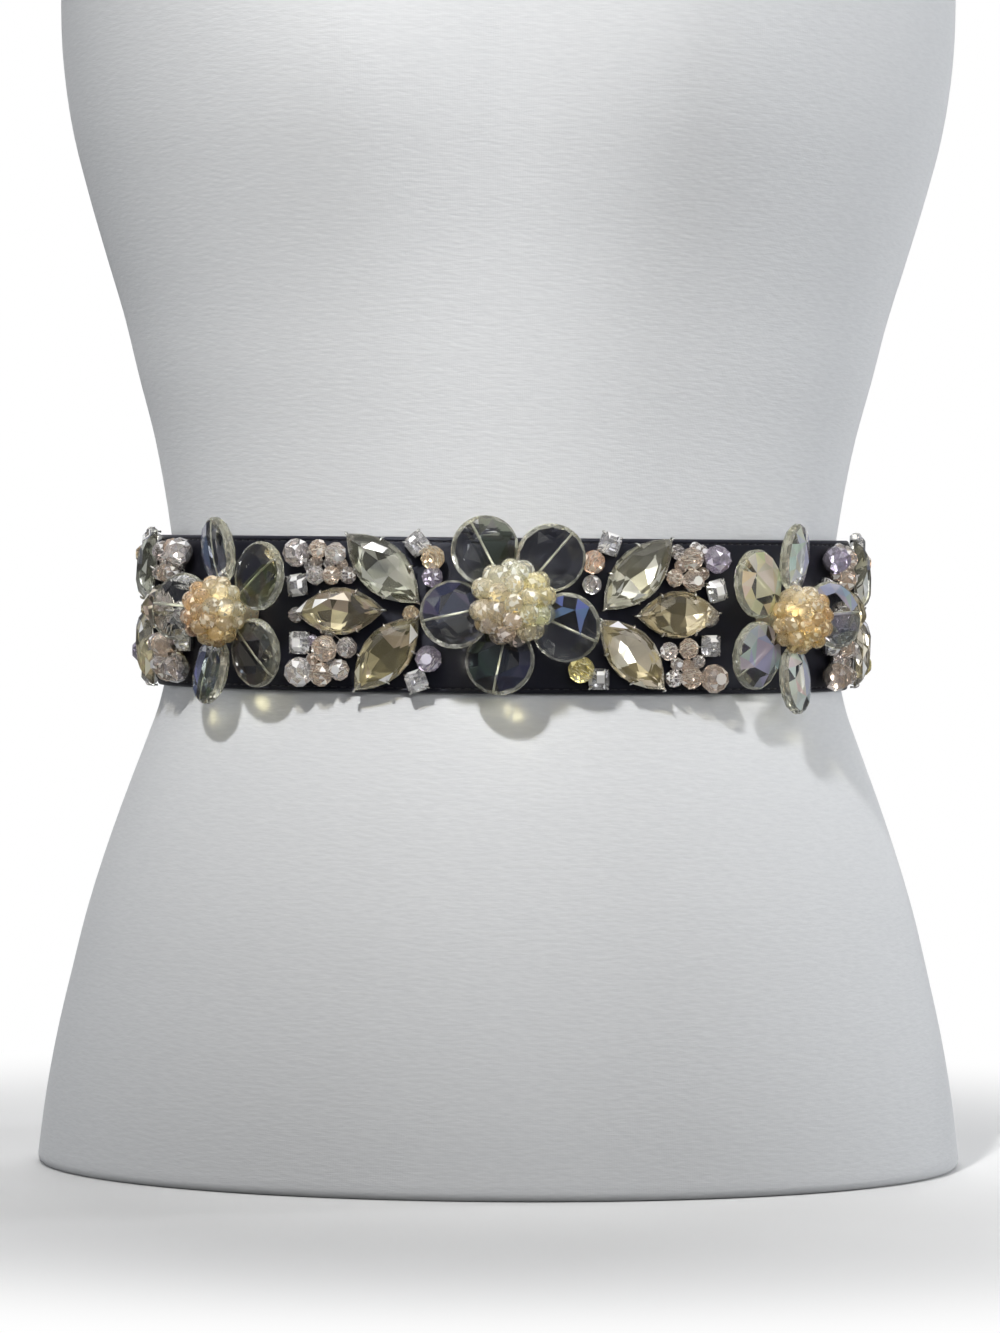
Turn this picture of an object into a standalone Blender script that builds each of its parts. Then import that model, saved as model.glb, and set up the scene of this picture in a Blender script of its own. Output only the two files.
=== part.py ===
"""Crystal bridal sash: a stiff satin band with flowers and stones, on a limbless dress form.

Metres, +Z up, the front faces -Y. The origin is the middle of the form's flat base.
A place on the band is (along, up, out): along the outer face from the centre front towards +X,
up from the band's middle line, and out from the outer face.
"""
import math

import bmesh
import bpy
import numpy as np
from mathutils import Matrix, Vector

# Driving sizes
SEAM_GAP = 0.0003
BAND_LEVEL = 0.188
BAND_HEIGHT = 0.0508
BAND_THICKNESS = 0.0019
BAND_HALF_WIDTH = 0.1176
BAND_HALF_DEPTH = 0.0887
BAND_STATIONS = 84
FOLD_STEPS = 4
LAP_LENGTH = 0.030
LAP_RAMP = 0.034
SNAP_RADIUS = 0.0045
SNAP_THICKNESS = 0.0020
SNAP_UP = 0.0125
SNAP_SIDES = 12
FORM_COLUMNS = 32
FLOWER_SPACING = 0.095
PETAL_RADIUS = 0.0113
PETAL_SIDES = 12
STEM_RADIUS = 0.0076
HUB_OUT = 0.0088
DOME_BEAD_RADIUS = 0.0034
BEAD_SIDES = 8
THREAD_RADIUS = 0.0009
WIRE_RADIUS = 0.0006
STRAND_SIDES = 5
THREAD_OUT = 0.0029

LAP_RISE = BAND_THICKNESS + SNAP_THICKNESS + 2 * SEAM_GAP

# How finely the length along the band is measured, and how far past the centre back
OUTLINE_STEPS = 5201
OUTLINE_REACH = 1.3 * math.pi

# The form's sections, from the flat base to the neck's top
# height, half_width, front_depth, back_depth
FORM_SECTIONS = [
    (0.0000, 0.1575, 0.1130, 0.1215),
    (0.0250, 0.1543, 0.1115, 0.1200),
    (0.0450, 0.1507, 0.1092, 0.1172),
    (0.0660, 0.1459, 0.1060, 0.1130),
    (0.0860, 0.1410, 0.1025, 0.1080),
    (0.1070, 0.1346, 0.0982, 0.1022),
    (0.1270, 0.1276, 0.0940, 0.0962),
    (0.1430, 0.1216, 0.0904, 0.0916),
    (0.1560, 0.1170, 0.0876, 0.0880),
    (0.1635, 0.1152, 0.0863, 0.0863),
    (0.1720, 0.1131, 0.0847, 0.0847),
    (0.1880, 0.1115, 0.0833, 0.0833),
    (0.2050, 0.1120, 0.0838, 0.0836),
    (0.2145, 0.1134, 0.0850, 0.0846),
    (0.2260, 0.1152, 0.0868, 0.0858),
    (0.2470, 0.1193, 0.0902, 0.0878),
    (0.2670, 0.1246, 0.0938, 0.0898),
    (0.2880, 0.1299, 0.0976, 0.0916),
    (0.3080, 0.1360, 0.1015, 0.0930),
    (0.3290, 0.1422, 0.1060, 0.0942),
    (0.3500, 0.1476, 0.1100, 0.0952),
    (0.3750, 0.1512, 0.1125, 0.0958),
    (0.4000, 0.1520, 0.1120, 0.0963),
    (0.4300, 0.1508, 0.1075, 0.0968),
    (0.4600, 0.1504, 0.1000, 0.0962),
    (0.4880, 0.1480, 0.0905, 0.0938),
    (0.5100, 0.1405, 0.0818, 0.0892),
    (0.5270, 0.1270, 0.0748, 0.0830),
    (0.5420, 0.1075, 0.0680, 0.0755),
    (0.5560, 0.0845, 0.0617, 0.0675),
    (0.5700, 0.0655, 0.0565, 0.0600),
    (0.5860, 0.0562, 0.0542, 0.0560),
    (0.6100, 0.0538, 0.0530, 0.0545),
    (0.6280, 0.0518, 0.0512, 0.0525),
    (0.6370, 0.0465, 0.0460, 0.0472),
    (0.6400, 0.0400, 0.0396, 0.0406),
]

# The soft swelling of the form's bust, added to the front on each side of the middle
BUST_LEVEL = 0.375
BUST_RISE = 0.062
BUST_SIDE = 0.066
BUST_SPREAD = 0.046
BUST_SWELL = 0.011

# a snap's turned profile: shares of its radius and of its thickness
SNAP_LAYERS = [(1.00, 0.0), (1.00, 0.35), (0.72, 0.45), (0.72, 0.55), (1.00, 0.65), (1.00, 1.0)]

# name, along, up, size of its dome of beads
FLOWERS = [
    ("centre", 0.0004, 0.0044, 1.14),
    ("left", -0.0938, 0.0004, 1.08),
    ("right", 0.0934, -0.0006, 0.92),
]

# flower, turn round the flower, tilt of the outer rim away from the band, roll on its wire,
# length of wire that shows between the stem and the petal
PETALS = [
    ("centre", 50.0, 8.0, 12.0, 0.0000),
    ("centre", 118.0, 8.0, 12.0, 0.0000),
    ("centre", 192.0, 8.0, 14.0, 0.0000),
    ("centre", 258.5, 9.0, 14.0, 0.0000),
    ("centre", 336.0, 9.0, 11.0, 0.0000),
    ("left", 38.0, 3.0, -8.0, 0.0000),
    ("left", 98.0, 4.0, -26.0, 0.0008),
    ("left", 176.0, 4.0, 14.0, 0.0000),
    ("left", 254.0, 4.0, 26.0, 0.0010),
    ("left", 316.0, 3.0, 8.0, 0.0000),
    ("right", 143.0, 4.0, 8.0, 0.0000),
    ("right", 86.0, 4.0, 28.0, 0.0010),
    ("right", 4.0, 4.0, -14.0, 0.0000),
    ("right", 276.0, 4.0, -26.0, 0.0010),
    ("right", 218.0, 2.0, -8.0, 0.0000),
]

# a petal's layers: share of its radius, height from its middle
PETAL_LAYERS = [(0.38, -0.0034), (0.74, -0.0027), (1.0, -0.0007),
                (1.0, 0.0007), (0.74, 0.0027), (0.38, 0.0034)]

# rings of beads on a flower's dome: how many, tilt from the dome's top, distance from its middle
DOME_RINGS = [(1, 0.0, 0.0078), (5, 37.0, 0.0086), (9, 72.0, 0.0096)]
DOME_MIDDLE_OUT = 0.0140
DOME_RING_TWIST = 17.0

# the core's turned profile: radius, out
CORE_PROFILE = [
    (0.0062, SEAM_GAP),
    (STEM_RADIUS, 0.0018),
    (STEM_RADIUS, 0.0112),
    (0.0100, 0.0150),
    (0.0098, 0.0178),
    (0.0078, 0.0206),
    (0.0040, 0.0220),
]
CORE_SIDES = 10

# side of the sash, name, away from the side flower, up, half length, half width, turn
LEAVES = [
    ("left", "upper", 0.0541, 0.0151, 0.0168, 0.0084, -42.0),
    ("left", "lower", 0.0555, -0.0126, 0.0163, 0.0081, 49.0),
    ("left", "middle", 0.0398, 0.0010, 0.0158, 0.0079, 2.0),
    ("right", "upper", 0.0540, 0.0138, 0.0166, 0.0083, -45.0),
    ("right", "lower", 0.0556, -0.0123, 0.0160, 0.0081, 46.0),
    ("right", "middle", 0.0402, 0.0008, 0.0150, 0.0079, -2.0),
]

# a leaf stone in its claw cup: scale of the outline, out
LEAF_LAYERS = [(0.78, SEAM_GAP), (0.96, 0.0026), (1.00, 0.0040), (0.76, 0.0064), (0.44, 0.0076)]
LEAF_STEPS = 6

# side of the sash, group, kind, away from the side flower, up, radius or half side, turn
STONES = [
    ("left", "top", "round", 0.0252, 0.0199, 0.0041, 0.0),
    ("left", "top", "round", 0.0321, 0.0212, 0.0028, 0.0),
    ("left", "top", "round", 0.0383, 0.0198, 0.0032, 0.0),
    ("left", "high", "square", 0.0245, 0.0093, 0.0035, 8.0),
    ("left", "high", "round", 0.0312, 0.0127, 0.0026, 0.0),
    ("left", "high", "round", 0.0368, 0.0127, 0.0026, 0.0),
    ("left", "high", "round", 0.0423, 0.0127, 0.0025, 0.0),
    ("left", "low", "square", 0.0255, -0.0095, 0.0036, 0.0),
    ("left", "low", "round", 0.0350, -0.0113, 0.0039, 0.0),
    ("left", "low", "round", 0.0423, -0.0108, 0.0031, 0.0),
    ("left", "bottom", "round", 0.0264, -0.0190, 0.0043, 0.0),
    ("left", "bottom", "round", 0.0337, -0.0197, 0.0035, 0.0),
    ("left", "bottom", "round", 0.0398, -0.0181, 0.0031, 0.0),
    ("left", "crest", "square", 0.0650, 0.0232, 0.0034, 40.0),
    ("left", "crest", "round", 0.0703, 0.0187, 0.0032, 0.0),
    ("left", "crest", "round", 0.0701, 0.0125, 0.0028, 0.0),
    ("left", "foot", "square", 0.0652, -0.0214, 0.0034, 20.0),
    ("left", "foot", "round", 0.0692, -0.0141, 0.0035, 0.0),
    ("right", "top", "round", 0.0270, 0.0189, 0.0041, 0.0),
    ("right", "top", "round", 0.0356, 0.0190, 0.0034, 0.0),
    ("right", "top", "round", 0.0402, 0.0212, 0.0022, 0.0),
    ("right", "high", "square", 0.0261, 0.0086, 0.0035, -15.0),
    ("right", "high", "round", 0.0351, 0.0119, 0.0033, 0.0),
    ("right", "high", "round", 0.0412, 0.0127, 0.0026, 0.0),
    ("right", "low", "square", 0.0281, -0.0095, 0.0034, 0.0),
    ("right", "low", "round", 0.0364, -0.0103, 0.0030, 0.0),
    ("right", "low", "round", 0.0431, -0.0112, 0.0027, 0.0),
    ("right", "bottom", "round", 0.0278, -0.0201, 0.0042, 0.0),
    ("right", "bottom", "round", 0.0354, -0.0198, 0.0033, 0.0),
    ("right", "bottom", "round", 0.0412, -0.0201, 0.0026, 0.0),
    ("right", "crest", "square", 0.0632, 0.0236, 0.0034, 20.0),
    ("right", "crest", "round", 0.0687, 0.0177, 0.0034, 0.0),
    ("right", "crest", "round", 0.0690, 0.0104, 0.0028, 0.0),
    ("right", "foot", "square", 0.0664, -0.0203, 0.0033, 0.0),
    ("right", "foot", "round", 0.0724, -0.0172, 0.0036, 0.0),
]

# a round bead: shares of its radius, across and out
BEAD_LAYERS = [(0.62, 0.10), (1.00, 0.95), (0.84, 1.56), (0.36, 1.94)]

# a square stone in its claw cup: scale of the outline, out
SQUARE_LAYERS = [(0.80, SEAM_GAP), (1.00, 0.0022), (1.00, 0.0038), (0.62, 0.0054)]

# name, base colour, roughness, metallic
FINISHES = {
    "satin": ((0.010, 0.010, 0.014, 1.0), 0.38, 0.0),
    "jersey": ((0.62, 0.63, 0.64, 1.0), 0.92, 0.0),
    "petal_glass": ((0.80, 0.80, 0.70, 0.45), 0.05, 0.0),
    "dome_beads": ((0.90, 0.66, 0.42, 1.0), 0.15, 0.0),
    "leaf_stone": ((0.46, 0.42, 0.30, 1.0), 0.08, 0.0),
    "clear_beads": ((0.72, 0.68, 0.66, 1.0), 0.08, 0.0),
    "snap_metal": ((0.55, 0.55, 0.56, 1.0), 0.30, 1.0),
}


def measure_outline():
    """Angles round the band's outer face, and the length along it from the centre front."""
    angles = np.linspace(-OUTLINE_REACH, OUTLINE_REACH, OUTLINE_STEPS)
    speed = np.hypot(BAND_HALF_WIDTH * np.cos(angles), BAND_HALF_DEPTH * np.sin(angles))
    lengths = np.concatenate([[0.0], np.cumsum((speed[1:] + speed[:-1]) / 2 * np.diff(angles))])
    lengths -= np.interp(0.0, angles, lengths)
    girth = np.interp(math.pi, angles, lengths) * 2
    return angles, lengths, float(girth)


OUTLINE_ANGLES, OUTLINE_LENGTHS, BAND_GIRTH = measure_outline()


def band_frame(along, up=0.0, out=0.0):
    """Axes at a place on the band: x along it, y up, z away from the body."""
    angle = float(np.interp(along, OUTLINE_LENGTHS, OUTLINE_ANGLES))
    foot = Vector((BAND_HALF_WIDTH * math.sin(angle), -BAND_HALF_DEPTH * math.cos(angle), 0.0))
    normal = Vector((math.sin(angle) / BAND_HALF_WIDTH, -math.cos(angle) / BAND_HALF_DEPTH, 0.0))
    normal.normalize()
    rise = Vector((0.0, 0.0, 1.0))
    tangent = rise.cross(normal)
    place = foot + normal * out + rise * (BAND_LEVEL + up)
    frame = Matrix((tangent, rise, normal)).transposed().to_4x4()
    frame.translation = place
    return frame


def turned(degrees, axis):
    return Matrix.Rotation(math.radians(degrees), 4, axis)


def moved(x, y, z):
    return Matrix.Translation((x, y, z))


def finish(name):
    """One Principled material for each finish."""
    if name in bpy.data.materials:
        return bpy.data.materials[name]
    colour, roughness, metallic = FINISHES[name]
    material = bpy.data.materials.new(name)
    material.use_nodes = True
    shader = material.node_tree.nodes["Principled BSDF"]
    shader.inputs["Base Color"].default_value = colour
    shader.inputs["Roughness"].default_value = roughness
    shader.inputs["Metallic"].default_value = metallic
    material.diffuse_color = colour
    return material


def add_object(name, rings, place, finish_name, smooth=None):
    """A closed solid from rings of points, each ring joined to the next, the ends filled."""
    shape = bmesh.new()
    loops = [[shape.verts.new(point) for point in ring] for ring in rings]
    for lower, upper in zip(loops, loops[1:]):
        count = len(lower)
        for i in range(count):
            j = (i + 1) % count
            shape.faces.new((lower[i], lower[j], upper[j], upper[i]))
    shape.faces.new(list(reversed(loops[0])))
    shape.faces.new(loops[-1])
    bmesh.ops.recalc_face_normals(shape, faces=shape.faces)
    mesh = bpy.data.meshes.new(name)
    shape.to_mesh(mesh)
    shape.free()
    if smooth is not None:
        mesh.shade_smooth()
        mesh.set_sharp_from_angle(angle=math.radians(smooth))
    thing = bpy.data.objects.new(name, mesh)
    thing.data.materials.append(finish(finish_name))
    bpy.context.scene.collection.objects.link(thing)
    thing.matrix_world = place
    return thing


def fuse(bodies):
    """Joins solids that reach into each other into the first one, by Boolean unions."""
    first, others = bodies[0], bodies[1:]
    for other in others:
        union = first.modifiers.new("union", "BOOLEAN")
        union.operation = "UNION"
        union.object = other
    bpy.context.view_layer.update()
    joined = first.evaluated_get(bpy.context.evaluated_depsgraph_get())
    mesh = bpy.data.meshes.new_from_object(joined)
    first.modifiers.clear()
    first.data = mesh
    mesh.name = first.name
    for other in others:
        bpy.data.objects.remove(other)
    return first


def circle(radius, sides, height, start=0.0):
    steps = [2 * math.pi * i / sides + start for i in range(sides)]
    return [Vector((radius * math.cos(a), radius * math.sin(a), height)) for a in steps]


def form_ring(height, half_width, front, back):
    """One section of the form: half an ellipse in front, half behind, and the bust's swelling."""
    ring = []
    level = math.exp(-((height - BUST_LEVEL) / BUST_RISE) ** 2)
    for i in range(FORM_COLUMNS):
        angle = 2 * math.pi * i / FORM_COLUMNS
        x = half_width * math.sin(angle)
        ahead = math.cos(angle)
        y = -front * ahead if ahead > 0 else -back * ahead
        if ahead > 0:
            y -= BUST_SWELL * level * ahead * math.exp(-((abs(x) - BUST_SIDE) / BUST_SPREAD) ** 2)
        ring.append(Vector((x, y, height)))
    return ring


def build_dress_form():
    rings = [form_ring(*section) for section in FORM_SECTIONS]
    return add_object("dress_form", rings, Matrix.Identity(4), "jersey", smooth=40)


def lap_offset(along):
    """How far the band's outer end stands off, so that it laps over the inner end."""
    start = BAND_GIRTH / 2 - LAP_LENGTH / 2 - LAP_RAMP
    part = min(max((along - start) / LAP_RAMP, 0.0), 1.0)
    return LAP_RISE * part * part * (3 - 2 * part)


def band_section(along):
    """The band's section: straight faces, and a round folded edge at top and bottom."""
    half = BAND_THICKNESS / 2
    straight = BAND_HEIGHT / 2 - half
    outer = lap_offset(along)
    profile = []
    for side in (1, -1):
        for step in range(FOLD_STEPS + 1):
            turn = math.pi * step / FOLD_STEPS
            profile.append((outer - half + side * half * math.cos(turn),
                            side * (straight + half * math.sin(turn))))
    return [band_frame(along, up, out).translation for out, up in profile]


def build_band():
    reach = BAND_GIRTH / 2 + LAP_LENGTH / 2
    places = np.linspace(-reach, reach, BAND_STATIONS)
    rings = [band_section(float(along)) for along in places]
    return add_object("band", rings, Matrix.Identity(4), "satin", smooth=50)


def build_snaps():
    """Two fastened sew-on snaps between the band's two ends, at the centre back."""
    snaps = []
    for name, up in (("snap_upper", SNAP_UP), ("snap_lower", -SNAP_UP)):
        rings = [circle(SNAP_RADIUS * scale, SNAP_SIDES, SNAP_THICKNESS * height)
                 for scale, height in SNAP_LAYERS]
        place = band_frame(BAND_GIRTH / 2, up, SEAM_GAP)
        snaps.append(add_object(name, rings, place, "snap_metal", smooth=30))
    return snaps


def petal_rings():
    """A faceted coin bead: a thin rim, a sloped shoulder and a flat table on each side."""
    return [circle(PETAL_RADIUS * scale, PETAL_SIDES, height) for scale, height in PETAL_LAYERS]


def build_petals():
    """Coin beads wired round each flower's stem, their drilled holes pointing at it."""
    petals = []
    for flower, along, up, _ in FLOWERS:
        rows = [row for row in PETALS if row[0] == flower]
        for number, (_, turn, tilt, roll, wire) in enumerate(rows, 1):
            place = (band_frame(along, up) @ turned(turn, "Z")
                     @ moved(STEM_RADIUS + wire + SEAM_GAP, 0.0, HUB_OUT)
                     @ turned(-tilt, "Y") @ turned(roll, "X") @ moved(PETAL_RADIUS, 0.0, 0.0))
            name = f"petal_{flower}_{number}"
            petals.append(add_object(name, petal_rings(), place, "petal_glass"))
    return petals


def dome_bead(place, radius):
    """A small faceted bead: a twenty-sided solid."""
    shape = bmesh.new()
    bmesh.ops.create_icosphere(shape, subdivisions=1, radius=radius)
    mesh = bpy.data.meshes.new("dome_bead")
    shape.to_mesh(mesh)
    shape.free()
    bead = bpy.data.objects.new("dome_bead", mesh)
    bpy.context.scene.collection.objects.link(bead)
    bead.matrix_world = place
    return bead


def petal_wires(flower, frame):
    """The wires that reach past the stem, to the petals that stand off it."""
    start = STEM_RADIUS / 2
    wires = []
    for _, turn, _, _, wire in (row for row in PETALS if row[0] == flower and row[4] > 0):
        spoke = frame @ turned(turn, "Z")
        end = STEM_RADIUS + wire - SEAM_GAP
        wires.append(strand(spoke @ Vector((start, 0.0, HUB_OUT)),
                            spoke @ Vector((end, 0.0, HUB_OUT)), WIRE_RADIUS))
    return wires


def build_cores():
    """Each flower's core: the wired stem, and a dome of beads in front of the petals."""
    cores = []
    for name, along, up, size in FLOWERS:
        frame = band_frame(along, up)
        rings = [circle(radius, CORE_SIDES, out) for radius, out in CORE_PROFILE]
        solids = [add_object(f"core_{name}", rings, frame, "dome_beads")]
        for ring, (count, tilt, distance) in enumerate(DOME_RINGS):
            for i in range(count):
                turn = 360.0 * i / count + DOME_RING_TWIST * ring
                place = (frame @ moved(0.0, 0.0, DOME_MIDDLE_OUT) @ turned(turn, "Z")
                         @ turned(tilt, "Y") @ moved(0.0, 0.0, distance * size))
                solids.append(dome_bead(place, DOME_BEAD_RADIUS * size))
        cores.append(fuse(solids + petal_wires(name, frame)))
    return cores


def leaf_outline(half_length, half_width, scale, out):
    """A pointed oval: two arcs that meet at the tips."""
    points = []
    for side in (-1, 1):
        for step in range(LEAF_STEPS):
            run = side * (1 - 2 * step / LEAF_STEPS)
            across = -side * (1 - run * run)
            points.append(Vector((-run * half_length * scale, across * half_width * scale, out)))
    return points


def cluster_frame(side, reach, away, up, turn):
    """Axes at a stone, which sits on either side of the side flower, mirrored about it."""
    sign = -1 if side == "left" else 1
    course = sign if reach == "outer" else -sign
    along = sign * FLOWER_SPACING + course * away
    return band_frame(along, up) @ turned(turn * course, "Z")


def build_leaves():
    leaves = []
    for reach in ("inner", "outer"):
        for side, name, away, up, half_length, half_width, turn in LEAVES:
            rings = [leaf_outline(half_length, half_width, scale, out) for scale, out in LEAF_LAYERS]
            place = cluster_frame(side, reach, away, up, turn)
            leaves.append(add_object(f"leaf_{side}_{reach}_{name}", rings, place, "leaf_stone"))
    return leaves


def bead_rings(radius):
    """A faceted round bead that lies on the band."""
    return [circle(radius * scale, BEAD_SIDES, SEAM_GAP + radius * height)
            for scale, height in BEAD_LAYERS]


def square_rings(half_side):
    corner = half_side * math.sqrt(2)
    return [circle(corner * scale, 4, out, start=math.pi / 4) for scale, out in SQUARE_LAYERS]


def strand(start, end, radius):
    """A straight length of thread or wire."""
    run = end - start
    place = Matrix.Translation(start) @ run.to_track_quat("Z", "Y").to_matrix().to_4x4()
    rings = [circle(radius, STRAND_SIDES, 0.0), circle(radius, STRAND_SIDES, run.length)]
    return add_object("strand", rings, place, "clear_beads")


def build_group(side, reach, group):
    """One group of beads and claw-set stones, strung together."""
    solids = []
    middles = []
    for row_side, row_group, kind, away, up, size, turn in STONES:
        if (row_side, row_group) != (side, group):
            continue
        place = cluster_frame(side, reach, away, up, turn)
        rings = square_rings(size) if kind == "square" else bead_rings(size)
        name = f"beads_{side}_{reach}_{group}"
        solids.append(add_object(name, rings, place, "clear_beads"))
        middles.append(place @ Vector((0.0, 0.0, THREAD_OUT)))
    threads = [strand(a, b, THREAD_RADIUS) for a, b in zip(middles, middles[1:])]
    return fuse(solids + threads)


def build_groups():
    names = sorted({(row[0], row[1]) for row in STONES})
    return [build_group(side, reach, group) for reach in ("inner", "outer") for side, group in names]


def main():
    for thing in list(bpy.data.objects):
        bpy.data.objects.remove(thing)
    build_dress_form()
    band = build_band()
    trimmings = build_snaps() + build_petals() + build_cores() + build_leaves() + build_groups()
    sash = bpy.data.objects.new("sash", None)
    bpy.context.scene.collection.objects.link(sash)
    sash.location = (0.0, 0.0, BAND_LEVEL)
    bpy.context.view_layer.update()
    for piece in [band] + trimmings:
        piece.parent = sash
        piece.matrix_parent_inverse = sash.matrix_world.inverted()


main()
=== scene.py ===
# Looks for the crystal bridal sash on its dress form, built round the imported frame.
# Metres, +Z up, the front faces -Y. A place on the band is (along, up, out).
import math
import random

import bmesh
import bpy
import numpy as np
from mathutils import Matrix, Vector


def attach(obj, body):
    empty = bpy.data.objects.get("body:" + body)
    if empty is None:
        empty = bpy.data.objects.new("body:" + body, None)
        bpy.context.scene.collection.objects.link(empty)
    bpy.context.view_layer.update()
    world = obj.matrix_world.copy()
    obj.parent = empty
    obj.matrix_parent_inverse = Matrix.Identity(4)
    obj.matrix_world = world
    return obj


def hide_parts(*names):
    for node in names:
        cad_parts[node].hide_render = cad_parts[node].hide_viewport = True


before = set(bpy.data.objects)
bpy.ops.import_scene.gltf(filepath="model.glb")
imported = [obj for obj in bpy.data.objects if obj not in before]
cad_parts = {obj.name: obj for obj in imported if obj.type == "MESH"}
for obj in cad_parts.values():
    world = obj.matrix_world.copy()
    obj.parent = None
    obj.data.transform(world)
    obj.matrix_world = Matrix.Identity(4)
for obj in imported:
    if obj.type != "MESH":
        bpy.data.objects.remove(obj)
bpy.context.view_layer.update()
print("frame loaded:", len(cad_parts), "nodes")

# The band's oval, shared by everything that is sewn on it
sash = {
    "level": 0.188,
    "height": 0.0508,
    "thickness": 0.0019,
    "halfWidth": 0.1176,
    "halfDepth": 0.0887,
    "flowerSpacing": 0.095,
    "gap": 0.0003,
    "ovalSteps": 5201,
    "ovalReach": 1.3 * math.pi,
}


def measureOval():
    angles = np.linspace(-sash["ovalReach"], sash["ovalReach"], sash["ovalSteps"])
    speed = np.hypot(sash["halfWidth"] * np.cos(angles), sash["halfDepth"] * np.sin(angles))
    lengths = np.concatenate([[0.0], np.cumsum((speed[1:] + speed[:-1]) / 2 * np.diff(angles))])
    lengths -= np.interp(0.0, angles, lengths)
    return angles, lengths, float(np.interp(math.pi, angles, lengths)) * 2


ovalAngles, ovalLengths, girth = measureOval()


def bandFrame(along, up=0.0, out=0.0):  # x along the band, y up, z away from the body
    angle = float(np.interp(along, ovalLengths, ovalAngles))
    wide, deep = sash["halfWidth"], sash["halfDepth"]
    normal = Vector((math.sin(angle) / wide, -math.cos(angle) / deep, 0.0)).normalized()
    rise = Vector((0.0, 0.0, 1.0))
    foot = Vector((wide * math.sin(angle), -deep * math.cos(angle), sash["level"] + up))
    place = Matrix((rise.cross(normal), rise, normal)).transposed().to_4x4()
    place.translation = foot + normal * out
    return place


def turned(degrees, axis):
    return Matrix.Rotation(math.radians(degrees), 4, axis)


def moved(x, y, z):
    return Matrix.Translation((x, y, z))


def clusterFrame(side, reach, away, up, turn=0.0):  # a stone on either side of a side flower
    sign = -1 if side == "left" else 1
    course = sign if reach == "outer" else -sign
    along = sign * sash["flowerSpacing"] + course * away
    return bandFrame(along, up) @ turned(turn * course, "Z")


def addObject(name, data):
    thing = bpy.data.objects.new(name, data)
    bpy.context.scene.collection.objects.link(thing)
    return thing


# Camera at the photo's place

photo = {
    "distance": 1.8,
    "height": 0.2126,
    "tall": 1333,
    "focalPixels": 5274,
    "middleRow": 540,       # the row that the lens looks straight at
    "middleShift": 3,       # pixels that the picture's middle lies off the form's
    "bodyTurn": -1.4,       # degrees that the form is turned away from the lens
    "roll": 0.5,
    "sensor": 36.0,
}


def makeCamera():
    data = bpy.data.cameras.new("photoCamera")
    data.sensor_fit = "AUTO"
    data.sensor_width = photo["sensor"]
    data.lens = photo["focalPixels"] * photo["sensor"] / photo["tall"]
    camera = addObject("photoCamera", data)
    pan = math.degrees(math.atan2(photo["middleShift"], photo["focalPixels"]))
    dip = math.degrees(math.atan2(photo["tall"] / 2 - photo["middleRow"], photo["focalPixels"]))
    camera.matrix_world = (turned(photo["bodyTurn"], "Z") @ moved(0.0, -photo["distance"], photo["height"])
                           @ turned(pan, "Z") @ turned(90.0 - dip, "X") @ turned(photo["roll"], "Z"))
    bpy.context.scene.camera = camera


makeCamera()
print("camera placed")

# Shapes: lists of points and faces, put down any number of times in one mesh

untinted = (1.0, 1.0, 1.0)


def opaque(colour):
    return (*colour, 1.0)


def newHeap():
    return {"points": [], "faces": [], "slots": [], "tints": [], "smooth": []}


def addShape(heap, shape, place=Matrix.Identity(4), tints=(untinted,), slot=None):
    start = len(heap["points"])
    heap["points"] += [place @ point for point in shape["points"]]
    for index, face in enumerate(shape["faces"]):
        heap["faces"].append([start + corner for corner in face])
        heap["slots"].append(shape["slots"][index] if slot is None else slot)
        heap["tints"].append(tints[index % len(tints)])
        heap["smooth"].append(shape["smooth"])


def makeMesh(name, points, faces, materials=()):
    mesh = bpy.data.meshes.new(name)
    mesh.from_pydata(points, [], faces)
    for material in materials:
        mesh.materials.append(material)
    return mesh


def addAttribute(mesh, name, kind, values, domain="POINT"):
    field = {"FLOAT": "value", "FLOAT_COLOR": "color", "FLOAT_VECTOR": "vector"}[kind]
    mesh.attributes.new(name, kind, domain).data.foreach_set(field, values)


def makePiece(name, heap, materials):
    mesh = makeMesh(name, heap["points"], heap["faces"], materials)
    mesh.polygons.foreach_set("material_index", heap["slots"])
    mesh.polygons.foreach_set("use_smooth", heap["smooth"])
    colours = []
    for face, colour in zip(heap["faces"], heap["tints"]):
        colours += opaque(colour) * len(face)
    addAttribute(mesh, "tint", "FLOAT_COLOR", colours, "CORNER")
    mesh.update()
    return addObject(name, mesh)


def makePattern(shape):  # one uncoloured shape, for a tree to set out
    heap = newHeap()
    addShape(heap, shape)
    pattern = makePiece("pattern", heap, [])
    pattern.data.attributes.remove(pattern.data.attributes["tint"])
    return pattern


def settle(piece, slot, *nodes):  # joins the piece to the body, in the place of these nodes
    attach(piece, "root")
    if nodes:
        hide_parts(*nodes)


def shapeOf(cut, smooth=False, slotOf=None):  # a bmesh turned into a shape, and freed
    cut.verts.ensure_lookup_table()
    cut.verts.index_update()
    cut.normal_update()
    shape = {
        "points": [vert.co.copy() for vert in cut.verts],
        "faces": [[vert.index for vert in face.verts] for face in cut.faces],
        "slots": [slotOf(face) if slotOf else 0 for face in cut.faces],
        "smooth": smooth,
    }
    cut.free()
    return shape


def cutStone(points, slotOf=None):  # the flat facets that these points span
    cut = bmesh.new()
    for point in points:
        cut.verts.new(point)
    hull = bmesh.ops.convex_hull(cut, input=cut.verts)
    spare = {item for item in hull["geom_interior"] + hull["geom_unused"]
             if isinstance(item, bmesh.types.BMVert)}
    bmesh.ops.delete(cut, geom=list(spare), context="VERTS")
    bmesh.ops.dissolve_limit(cut, angle_limit=math.radians(1.0), verts=cut.verts, edges=cut.edges)
    return shapeOf(cut, slotOf=slotOf)


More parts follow.
